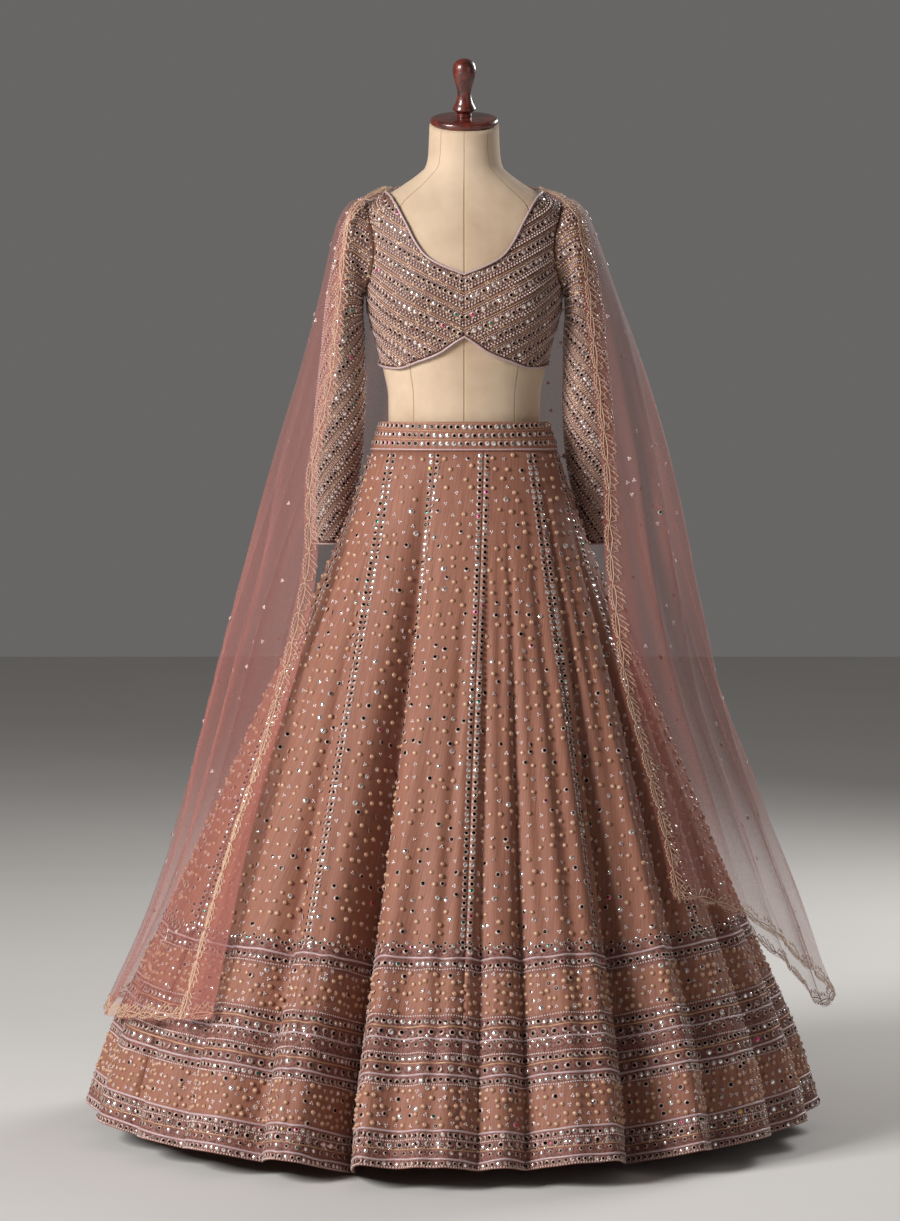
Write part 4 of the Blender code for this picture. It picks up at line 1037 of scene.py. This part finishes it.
# The bands of the border whose ground is filled with seed beads, by the height of their ridges
WORKED_BANDS, WORKED_EDGE = ((0.337, 0.297), (0.246, 0.147), (0.093, 0.038)), 0.006
inner[0, :, 2] = outer[0, :, 2]
for n in range(PANELS):
    panel = cut_panel(outer, n * PANEL_COLUMNS, (n + 1) * PANEL_COLUMNS)
    points, faces = cloth_wall(panel, cut_panel(inner, n * PANEL_COLUMNS, (n + 1) * PANEL_COLUMNS))
    piece = add_piece(f"skirt_cloth_{n + 1:02d}", points, faces, [skirt_cloth],
                      replaces=[f"skirt_panel_{n + 1:02d}"])
    across = np.concatenate([np.zeros((SKIRT_ROWS + 1, 1)), np.cumsum(
        np.linalg.norm(np.diff(panel, axis=1), axis=-1), 1)], 1)
    down = CLOTH_LENGTH * skirt_slants[:, None] + 0 * across
    place = np.stack([across + n, down, 0 * across], -1).reshape(-1, 3)
    mark(piece, "on_cloth", np.concatenate([place, place]))
    ridge = (WAISTBAND_BOTTOM - SEAM_GAP - skirt_slants * SKIRT_LENGTH)[:, None] + 0 * across
    worked = sum(np.clip((top - ridge) / WORKED_EDGE, 0, 1) * np.clip((ridge - bottom) / WORKED_EDGE, 0, 1)
                 for top, bottom in WORKED_BANDS)
    mark(piece, "worked", np.concatenate([worked.ravel(), worked.ravel()]))

# The field's embroidery: round knots of gold thread with a pearl, threes of small beads, and ringed mirrors,
# sewn all over the panels. Each seam is covered by a double row of ringed mirrors, down to the border.

skirt_skin_grid = np.concatenate([outer, outer[:, :1]], 1)
BORDER_TOP = 0.340


def ridge_row(height):
    """The skirt's grid row whose ridges are at a height above the floor."""
    slant = (WAISTBAND_BOTTOM - SEAM_GAP - np.asarray(height, float)) / SKIRT_LENGTH
    return np.interp(slant, skirt_slants, np.arange(SKIRT_ROWS + 1))


THREE_BEADS = joined_shapes(*[
    (BEAD[0] + (1.12 * math.cos(t), 1.12 * math.sin(t), 0), BEAD[1], BEAD[2])
    for t in (0, math.tau / 3, 2 * math.tau / 3)])
knot_dome = turned_shape([(1.0, 0.0), (0.86, 0.44), (0.40, 0.66)], 7)
knot_pearl = turned_shape([(0.46, 0.58), (0.0, 1.00)], 5)
THREAD_KNOT = joined_shapes(knot_dome, (knot_pearl[0], knot_pearl[1], knot_pearl[2] + 1))
KNOT_SIZE, BEAD_SIZE, FIELD_MIRROR_SIZE = 0.0042, 0.00165, 0.0048
FIELD_GAP, DENSE_GAP = 0.0178, 0.0126
FIELD_KINDS = (0.44, 0.34, 0.22)
DENSE_KINDS = (0.52, 0.35, 0.13)
SEAM_ROOM, FIELD_TILT = 0.0125, 0.15
around_skirt = np.arange(0, PANELS * PANEL_COLUMNS + 0.5, 0.5)


def field_places(top, bottom, gap, seam_room):
    """Rows and columns of scattered places over the skirt between two ridge heights, clear of the seams."""
    rows, columns = [], []
    lines = np.arange(top, bottom, -0.93 * gap)
    for n, height in enumerate(lines):
        row = float(ridge_row(height))
        at = on_skin(skirt_skin_grid, np.full(around_skirt.shape, row), around_skirt)[0]
        run = np.concatenate([[0], np.cumsum(np.linalg.norm(np.diff(at, axis=0), axis=1))])
        count = int(run[-1] / gap)
        where = (np.arange(count) + 0.5 * (n % 2) + rng.uniform(-0.27, 0.27, count)) * run[-1] / count
        where = where % run[-1]
        seams = run[::2 * PANEL_COLUMNS]
        kept = np.abs(where[:, None] - seams).min(1) > seam_room
        columns.append(np.interp(where[kept], run, around_skirt))
        rows.append(ridge_row(height + rng.uniform(-0.24, 0.24, kept.sum()) * gap))
    return np.concatenate(rows), np.concatenate(columns)


knot_parts, bead_parts, field_mirrors = [], [], []
FIELD_ZONES = (
    (1.029, BORDER_TOP + 0.006, FIELD_GAP, SEAM_ROOM, FIELD_KINDS),
    (0.2965, 0.2475, DENSE_GAP, 0.0, DENSE_KINDS), (0.1445, 0.0955, DENSE_GAP, 0.0, DENSE_KINDS))
for top, bottom, gap, room, kinds in FIELD_ZONES:
    row, column = field_places(top, bottom, gap, room)
    kind = rng.choice(3, len(row), p=kinds)
    size = rng.uniform(0.86, 1.08, len(row))
    for n, (parts, shape, scale, tones) in enumerate((
            (knot_parts, THREAD_KNOT, KNOT_SIZE, None), (bead_parts, THREE_BEADS, BEAD_SIZE, None),
            (field_mirrors, RINGED_MIRROR, FIELD_MIRROR_SIZE, foil_and_painted_reflection_shares))):
        parts.append(sew(shape, scale * size[kind == n], skirt_skin_grid, row[kind == n], column[kind == n],
                         rng, FIELD_TILT, tones))
add_sewn("skirt_thread_knots", knot_parts, [gold_thread, pearl])
add_mirrors("skirt_field_mirrors", field_mirrors)

SEAM_ROW_APART, SEAM_MIRROR_GAP, SEAM_MIRROR_SIZE, SEAM_TILT = 0.0052, 0.0097, 0.0046, 0.14
seam_mirrors = []
row = np.linspace(0.10, float(ridge_row(BORDER_TOP - 0.012)), 90)
for n in range(PANELS):
    middle = np.full(row.shape, float(n * PANEL_COLUMNS))
    for side in (-1, 1):
        beside = (middle + side * 0.5) % (PANELS * PANEL_COLUMNS)
        width = np.linalg.norm(on_skin(skirt_skin_grid, row, beside)[0] - on_skin(
            skirt_skin_grid, row, middle)[0], axis=1) / 0.5
        column = (middle + side * SEAM_ROW_APART / width) % (PANELS * PANEL_COLUMNS)
        seam_mirrors.append(sewn_row(
            RINGED_MIRROR, SEAM_MIRROR_SIZE, skirt_skin_grid, row, column, SEAM_MIRROR_GAP, rng, SEAM_TILT,
            foil_and_painted_reflection_shares))
add_mirrors("skirt_seam_mirrors", seam_mirrors)

# The skirt's border: bands of mirror rows and groups of small mirrors between satin pipings and couched
# gold cords, with two belts of close-set knots and beads. It follows the hem round every fold.

# Each row is a line of the border with the height of its ridges above the floor, its spacing and its size
BORDER = (
    ("groups", 0.3275, 0.0200, 0.0040), ("piping", 0.3190, 0, 0.0034),
    ("mirrors", 0.3100, 0.0097, 0.0045), ("pearls", 0.3035, 0.0040, 0.0014),
    ("pearls", 0.2417, 0.0040, 0.0014), ("mirrors", 0.2338, 0.0097, 0.0045), ("cord", 0.2275, 0, 0.0026),
    ("mirrors", 0.2198, 0.0158, 0.0052), ("piping", 0.2116, 0, 0.0034),
    ("groups", 0.2035, 0.0158, 0.0034), ("pearls", 0.1925, 0.0036, 0.0014),
    ("mirrors", 0.1862, 0.0097, 0.0045), ("cord", 0.1798, 0, 0.0026), ("mirrors", 0.1722, 0.0165, 0.0052),
    ("piping", 0.1640, 0, 0.0034), ("mirrors", 0.1566, 0.0100, 0.0045),
    ("pearls", 0.1508, 0.0036, 0.0014), ("piping", 0.0895, 0, 0.0034),
    ("mirrors", 0.0829, 0.0097, 0.0043), ("pearls", 0.0776, 0.0038, 0.0014),
    ("mirrors", 0.0718, 0.0158, 0.0050), ("cord", 0.0655, 0, 0.0024), ("groups", 0.0600, 0.0150, 0.0030),
    ("piping", 0.0515, 0, 0.0032), ("mirrors", 0.0458, 0.0093, 0.0038),
    ("pearls", 0.0418, 0.0044, 0.0014))
LINE_SWAY, FLAT_BELOW = 0.0011, 0.045
# A group is one larger mirror with three smaller ones over it: (how far aside, in gaps; how far above, in m)
GROUP_LOW_SIZE, GROUP_TOP_SIZE, GROUP_LOW_TILT, GROUP_TOP_TILT = 1.15, 0.86, 0.12, 0.16
GROUP_TOPS = ((-0.32, 0.0066), (0.04, 0.0112), (0.40, 0.0064))
border_mirrors, border_pearls, cords, pipings = [], [], [], []
turn = around_skirt / around_skirt[-1] * math.tau
for kind, height, gap, size in BORDER:
    sway = sum(rng.uniform(0.3, 1) * np.sin(k * turn + rng.uniform(0, 6)) for k in (9, 17, 31, 47)) / 2
    row = ridge_row(height + LINE_SWAY * sway * (height > FLAT_BELOW) * (kind != "groups"))
    if kind == "mirrors":
        border_mirrors.append(sewn_row(
            RINGED_MIRROR, size, skirt_skin_grid, row, around_skirt, gap, rng, FIELD_TILT, foil_and_painted_reflection_shares))
    elif kind == "groups":
        low, column = spaced(skirt_skin_grid, row, around_skirt, gap)
        border_mirrors.append(sew(RINGED_MIRROR, GROUP_LOW_SIZE * size, skirt_skin_grid, low, column, rng,
                                  GROUP_LOW_TILT, foil_and_painted_reflection_shares))
        for aside, above in GROUP_TOPS:
            raised = ridge_row(height + above) + low - row[0]
            beside = np.interp((np.arange(len(low)) + 0.5 + aside), np.arange(len(low)) + 0.5, column)
            border_mirrors.append(sew(RINGED_MIRROR, GROUP_TOP_SIZE * size, skirt_skin_grid, raised, beside,
                                      rng, GROUP_TOP_TILT, foil_and_painted_reflection_shares))
    elif kind == "pearls":
        border_pearls.append(sewn_row(BEAD, size, skirt_skin_grid, row, around_skirt, gap, rng))
    elif kind == "cord":
        cords.append(couched_cord(skirt_skin_grid, row, around_skirt, size, 0.0014))
    else:
        pipings.append(couched_cord(skirt_skin_grid, row, around_skirt, size, 0.0020, rounded=True))
add_mirrors("skirt_border_mirrors", border_mirrors)
add_sewn("skirt_beads", bead_parts + border_pearls, [pearl])
add_sewn("skirt_gold_cords", cords, [gold_thread])
add_sewn("skirt_border_pipings", pipings, [satin])

# The dupatta: a long net scarf laid round the neck behind and over both shoulders. It hangs open in front
# of the sleeves and falls over the sides of the skirt; the left fall's front edge is turned back.

LEFT_DRAPE = table("z side edge edge_turn back", [
    (0.150, 0.535, 0.520, 43.0, 0.60), (0.230, 0.505, 0.500, 44.3, 0.56), (0.340, 0.466, 0.455, 46.5, 0.50),
    (0.500, 0.418, 0.385, 50.3, 0.405), (0.720, 0.364, 0.288, 59.0, 0.300),
    (0.890, 0.316, 0.243, 65.0, 0.232), (1.000, 0.289, 0.236, 69.0, 0.196),
    (1.140, 0.252, 0.206, 71.0, 0.162), (1.280, 0.2200, 0.190, 72.5, 0.138),
    (1.375, 0.1985, 0.181, 74.0, 0.118), (1.411, 0.1810, 0.160, 78.0, 0.106),
    (1.4281, 0.1500, 0.128, 83.0, 0.098), (1.4374, 0.1180, 0.1185, 85.0, 0.090),
    (1.475, 0.0780, 0.078, 88.0, 0.080)])
RIGHT_DRAPE = table("z side edge edge_turn back", [
    (0.150, 0.566, 0.530, 42.0, 0.60), (0.230, 0.540, 0.510, 42.5, 0.56), (0.303, 0.513, 0.470, 43.0, 0.52),
    (0.389, 0.481, 0.428, 43.3, 0.47), (0.520, 0.434, 0.374, 45.6, 0.395), (0.617, 0.400, 0.326, 48.0, 0.345),
    (0.723, 0.3675, 0.280, 52.6, 0.300), (0.867, 0.3365, 0.228, 66.0, 0.240),
    (1.000, 0.312, 0.222, 69.5, 0.196), (1.157, 0.272, 0.203, 71.5, 0.159),
    (1.250, 0.2425, 0.1925, 72.5, 0.143), (1.375, 0.2000, 0.181, 74.0, 0.118),
    (1.411, 0.1810, 0.160, 78.0, 0.106), (1.4281, 0.1500, 0.128, 83.0, 0.098),
    (1.4374, 0.1180, 0.1185, 85.0, 0.090), (1.475, 0.0780, 0.078, 88.0, 0.080)])
# Each row is a level of the sheet, with its height at the front edge, at the side and at the back
LEVELS = table("edge side back", [
    (1.4380, 1.4398, 1.4740), (1.4296, 1.4332, 1.4480), (1.4110, 1.4258, 1.4200), (1.3850, 1.4130, 1.3750),
    (1.3350, 1.3750, 1.3150), (1.2700, 1.2900, 1.2200), (1.1400, 1.1700, 1.1000), (1.0000, 1.0300, 0.9900)])
LEFT_HEM = table("turn z", [
    (40, 0.222), (60, 0.200), (80, 0.180), (100, 0.172), (116, 0.180), (130, 0.28), (150, 0.42),
    (165, 0.52), (180, 0.56)])
RIGHT_HEM = table("turn z", [
    (40, 0.392), (55, 0.365), (70, 0.300), (85, 0.215), (98, 0.166), (110, 0.200), (130, 0.32),
    (150, 0.44), (165, 0.525), (180, 0.56)])
FALL_ROWS, FALL_COLUMNS, BACK_COLUMNS, BACK_SHARE = 6, 12, 8, 0.56
SKIRT_CLEARANCE = 0.009
WAVE_TOP, WAVE_DEPTH = 1.30, 0.018


def skirt_reach(turn, z):
    """The radius of the skirt's ridges at a height below the waistband, and nothing above it."""
    share = read(FLARE, "slant", "share", (WAISTBAND_BOTTOM - z) / (WAISTBAND_BOTTOM - HEM_HEIGHT))
    waist = form_point(turn, np.full(np.shape(turn), WAISTBAND_BOTTOM))
    reach = blend(np.hypot(waist[..., 0], waist[..., 1]), hem_radius(turn), share)
    return np.where(z < WAISTBAND_TOP, reach, 0)


def drape_row(level, fall, q, side, drape, hem):
    """A row of the sheet from its front edge (q = 0) to the centre back (q = 1)."""
    edge_height = blend(LEVELS["edge"][level], hem["z"][0], fall)
    edge_turn = read(drape, "z", "edge_turn", edge_height)
    turn = edge_turn + q * (180 - edge_turn)
    back = np.clip((turn - 90) / 90, 0, 1)
    front = np.clip((90 - turn) / (90 - edge_turn), 0, 1)
    z = blend(LEVELS["side"][level], LEVELS["back"][level], np.sin(back * math.pi / 2) ** 2)
    z = z + (LEVELS["edge"][level] - LEVELS["side"][level]) * front ** 2
    z = blend(z, read(hem, "turn", "z", turn), fall)
    wide, deep, edge = (read(drape, "z", c, z) for c in ("side", "back", "edge"))
    angle = np.radians(turn)
    oval = 1 / np.sqrt((np.sin(angle) / wide) ** 2 + (np.cos(angle) / deep) ** 2)
    radius = np.where(turn > 90, oval, wide + (edge - wide) * front ** 1.5)
    loose = np.clip((WAVE_TOP - z) / WAVE_TOP, 0, 1)
    wave = 0.5 + 0.5 * np.sin(np.radians(17 * turn + 40 * side)) + 0.35 * np.sin(np.radians(9.3 * turn))
    radius = radius + WAVE_DEPTH * loose * wave
    radius = np.maximum(radius, skirt_reach(side * turn, z) + SKIRT_CLEARANCE)
    return np.stack([side * radius * np.sin(angle), -radius * np.cos(angle), z], -1)


def drape_side(side, drape, hem):
    """Half of the sheet as a grid, from its front edge to the centre back."""
    fall_q = np.linspace(0, 1, FALL_COLUMNS + 1) ** 1.1 * BACK_SHARE
    q = np.concatenate([fall_q, np.linspace(BACK_SHARE, 1, BACK_COLUMNS + 1)[1:]])
    last = len(LEVELS["edge"]) - 1
    rows = [drape_row(level, 0.0, q, side, drape, hem) for level in range(last + 1)]
    rows += [drape_row(last, fall, q, side, drape, hem) for fall in np.linspace(0, 1, FALL_ROWS + 1)[1:]]
    return np.array(rows)


# Silk net: hair-fine knotted threads with open holes, so mostly clear, with a soft rose bloom where it turns
# away or lies double. The 1 mm mesh is drawn as a broken grain of 1.8 mm.
net_cloth, tree = new_finish("silk_net")
place = add_node(tree, "ShaderNodeTexCoord").outputs["Object"]
mesh_grain = noise(tree, place, 1 / 0.0018, 1)
open_mesh = add_node(tree, "ShaderNodeMapRange", {
    "Value": mesh_grain, "From Min": 0.3, "From Max": 0.7, "To Min": 0.17, "To Max": 0.36})
pleat = add_node(tree, "ShaderNodeAttribute", attribute_name="doubled")
fill = add_node(tree, "ShaderNodeMath", {
    0: pleat.outputs["Fac"], 1: 0.22, 2: open_mesh.outputs["Result"]}, operation="MULTIPLY_ADD")
cover(tree, {"Base Color": linear("#B4685D"), "Alpha": fill.outputs[0], "Roughness": 0.62,
             "Sheen Weight": 0.4, "Sheen Roughness": 0.4})

FINER_DOWN, FINER_ACROSS = 8, 5
left, right = drape_side(-1, LEFT_DRAPE, LEFT_HEM), drape_side(1, RIGHT_DRAPE, RIGHT_HEM)
sheet = np.concatenate([right, left[:, -2::-1]], 1)
sheet = refined(refined(sheet, FINER_DOWN, 0), FINER_ACROSS, 1)
net_rows, net_columns = sheet.shape[0] - 1, sheet.shape[1] - 1

# Each row is a soft pleat of the hanging net: its share of the way from the right front edge round the back
# to the left one, its width in metres and how far it stands out
PLEATS = table("share width depth", [
    (0.055, 0.010, 0.009), (0.088, 0.008, 0.007), (0.128, 0.011, 0.010),
    (0.165, 0.008, 0.006), (0.205, 0.012, 0.009), (0.262, 0.012, 0.008), (0.318, 0.013, 0.009),
    (0.385, 0.014, 0.007), (0.450, 0.014, 0.008), (0.520, 0.014, 0.007), (0.590, 0.014, 0.008),
    (0.660, 0.013, 0.008), (0.716, 0.012, 0.009), (0.762, 0.010, 0.008), (0.802, 0.012, 0.010),
    (0.842, 0.008, 0.006), (0.880, 0.010, 0.010), (0.918, 0.008, 0.007)])
PLEATS_TOP, PLEATS_GROWN = 1.34, 0.89
across = np.concatenate([np.zeros((net_rows + 1, 1)), np.cumsum(
    np.linalg.norm(np.diff(sheet, axis=1), axis=-1), 1)], 1)
hanging = np.clip((PLEATS_TOP - sheet[..., 2]) / (PLEATS_TOP - PLEATS_GROWN), 0, 1)
lift, doubled = np.zeros(hanging.shape), np.zeros(hanging.shape)
for share, width, depth in zip(*PLEATS.values()):
    hump = np.exp(-((across - share * across[:, -1:]) / width) ** 2) * hanging
    lift += depth * hump
    doubled = np.maximum(doubled, hump ** 3)
smooth_sheet = sheet
sheet = sheet + skin_normals(sheet) * lift[..., None]

# How far in from the front edge the net lies double, by height: turned back outside on the left, where the
# cloth's own edge then shows, and pleated under on the right
LEFT_TURNED = table("z width", [
    (0.15, 0.088), (0.25, 0.070), (0.45, 0.055), (0.60, 0.036), (0.80, 0.026), (1.00, 0.020), (1.30, 0.016),
    (1.45, 0.014)])
RIGHT_TURNED = table("z width", [
    (0.15, 0.100), (0.36, 0.082), (0.66, 0.058), (0.90, 0.038), (1.10, 0.022), (1.30, 0.012), (1.45, 0.008)])
TURNED_LIFT, TURNED_COLUMNS = 0.0026, 8


def in_from_edge(row, distance, on_left):
    """The net's column that lies a distance in from its left or right front edge, at each whole row."""
    run = across[row]
    reach = run[:, -1] - distance if on_left else distance
    return np.array([np.interp(r, line, np.arange(net_columns + 1)) for r, line in zip(reach, run)])


def turned_strip(widths, on_left, lift):
    """The strip of net that lies on the sheet along a front edge."""
    row = np.arange(net_rows + 1)
    width = read(widths, "z", "width", sheet[:, -1 if on_left else 0, 2])
    edge = in_from_edge(row, width, on_left)
    low, high = (edge, np.full(edge.shape, float(net_columns))) if on_left else (0 * edge, edge)
    column = low[:, None] + (high - low)[:, None] * np.linspace(0, 1, TURNED_COLUMNS + 1)
    at, out, _ = on_skin(sheet, np.broadcast_to(row[:, None], column.shape), column)
    return at + out * lift


grids = [sheet, turned_strip(LEFT_TURNED, True, TURNED_LIFT), turned_strip(RIGHT_TURNED, False, -TURNED_LIFT)]
points, faces, _ = gather([(g.reshape(-1, 3), tube_faces(*g.shape[:2], closed=False)) for g in grids])
dupatta = add_piece("dupatta_net", points, faces, [net_cloth],
                    replaces=["dupatta_left", "dupatta_back", "dupatta_right"])
mark(dupatta, "doubled", np.concatenate([doubled.ravel(), np.zeros(len(points) - doubled.size)]))

# The dupatta's edges: a vine of feathered leaves in fine beige thread along the fronts, the hem and the
# neck edge, with its jagged outer line on the cloth's edge. Beads and a few green mirrors lie between.

# Polished cotton thread, machine embroidered in chain stitch: beige, with a low waxy shine
lace_thread = two_tone("beige_embroidery_thread", "#9F7A5E", "#DCB899", 1 / 0.0012, 2, {
    "Roughness": 0.48, "Sheen Weight": 0.2}, 0.5, 0.0004)

# One spray of leaves in millimetres: (along the edge, in from the edge line). The first line is its stem,
# the next its leaf tips, then a vein to each tip, and the jagged line on the cloth's edge.
SPRAY_PITCH, THREAD_WIDTH, THREAD_HEIGHT = 0.046, 0.0012, 0.0009
LEAF_TIPS = ((12, 11.5), (22, 14.5), (32, 14.0), (42, 9.5))
LEAF_VALLEYS = ((4, 3.5), (14, 6.5), (24, 8.5), (34, 7.5), (44, 0.5))
LEAF_ROOTS = ((2, 0.0), (10, 0.8), (19, 1.0), (28, 0.4))
EDGE_TIPS = ((6, -7.5), (12.5, -9.0), (19, -9.2), (25.5, -8.6), (32, -7.6), (38.5, -6.2))
EDGE_VALLEYS = ((1.5, -3.4), (8.5, -5.2), (15, -6.0), (21.5, -6.0), (28, -5.4), (34.5, -4.6), (42, -3.4))


def zigzag(valleys, tips):
    return [p for pair in zip(valleys, tips) for p in pair] + list(valleys[len(tips):])


SPRAY_LINES = [
    ([(0, -1.5), (11, 0.4), (23, 1.2), (35, 0.2), (46, -1.5)], 1.25),
    (zigzag(LEAF_VALLEYS, LEAF_TIPS), 1.0), (zigzag(EDGE_VALLEYS, EDGE_TIPS), 1.35),
    ([(0, -1.5), (9, -3.4), (23, -4.2), (36, -3.0), (46, -1.5)], 0.9)]
SPRAY_LINES += [([root, tip], 0.7) for root, tip in zip(LEAF_ROOTS, LEAF_TIPS)]
LEAF_LIFT = 0.0007


def leaf_border(path, out, inward, rng):
    """Sprays of leaves one after another along a path on the net, as many strips of thread."""
    run = np.concatenate([[0], np.cumsum(np.linalg.norm(np.diff(path, axis=0), axis=1))])
    parts = []
    for n in range(int(run[-1] / SPRAY_PITCH)):
        size = rng.uniform(0.88, 1.12)
        for line, width in SPRAY_LINES:
            along, into = np.array(line).T / 1000
            where = (n * SPRAY_PITCH + along) / (int(run[-1] / SPRAY_PITCH) * SPRAY_PITCH) * run[-1]
            at = np.stack([np.interp(where, run, path[:, k]) for k in range(3)], 1)
            normal = unit(np.stack([np.interp(where, run, out[:, k]) for k in range(3)], 1))
            aside = unit(np.stack([np.interp(where, run, inward[:, k]) for k in range(3)], 1))
            sway = rng.normal(0, 0.0004, len(where))
            at = at + aside * (into * size + sway)[:, None] + normal * LEAF_LIFT
            parts.append(thread_strip(at, normal, THREAD_WIDTH * width, THREAD_HEIGHT))
    return parts


def net_path(row, column, inward_column, lift=0.0):
    """A path on the net with its normals, and the direction into the cloth."""
    at = on_skin(sheet, row, column)[0]
    smooth, out, _ = on_skin(smooth_sheet, row, column)
    inward = unit(np.cross(out, np.gradient(smooth, axis=0))) * inward_column
    return at + out * lift, out, inward


EDGE_IN = 0.0108
rng = np.random.default_rng(23)
rows = np.arange(net_rows + 1)
widths = read(LEFT_TURNED, "z", "width", sheet[:, -1, 2])
left_path = net_path(rows.astype(float), in_from_edge(rows, widths - EDGE_IN, True), 1, TURNED_LIFT)
right_path = net_path(rows.astype(float), in_from_edge(rows, np.full(rows.shape, EDGE_IN), False), 1)
line = np.arange(0, net_columns + 0.5, 0.5)
hem_step = np.linalg.norm(sheet[-1] - sheet[-2], axis=-1)
neck_step = np.linalg.norm(sheet[1] - sheet[0], axis=-1)
whole = np.arange(net_columns + 1)
hem_path = net_path(net_rows - EDGE_IN / np.interp(line, whole, hem_step), line, 1)
neck_path = net_path(EDGE_IN / np.interp(line, whole, neck_step), line, -1)
lace_parts = []
for path in (left_path, right_path, hem_path, neck_path):
    lace_parts += leaf_border(*path, rng)
add_sewn("dupatta_leaf_border", lace_parts, [lace_thread])

NET_CLUSTERS, NET_MIRRORS, NET_BEAD_SIZE, NET_MIRROR_SIZE, NET_TILT = 260, 46, 0.0017, 0.0044, 0.1
column = rng.uniform(4, net_columns - 4, NET_CLUSTERS)
row = rng.uniform(0.12, 0.97, NET_CLUSTERS) * net_rows
bead_part = sew(THREE_BEADS, NET_BEAD_SIZE, sheet, row, column, rng, NET_TILT)
column = rng.uniform(4, net_columns - 4, NET_MIRRORS)
row = rng.uniform(0.15, 0.97, NET_MIRRORS) * net_rows
# The net's mirrors: most are painted dark and grey reflections, a few are plain white silver, and a quarter
# are green foil
net_foil_and_painted_reflection_shares = np.array([0.25, 0.2, 0.2, 0.1, 0.0, 0.25, 0.0])
add_sewn("dupatta_beads", [bead_part], [pearl])
add_mirrors("dupatta_mirrors", [
    sew(RINGED_MIRROR, NET_MIRROR_SIZE, sheet, row, column, rng, NET_TILT, net_foil_and_painted_reflection_shares)])

low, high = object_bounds()
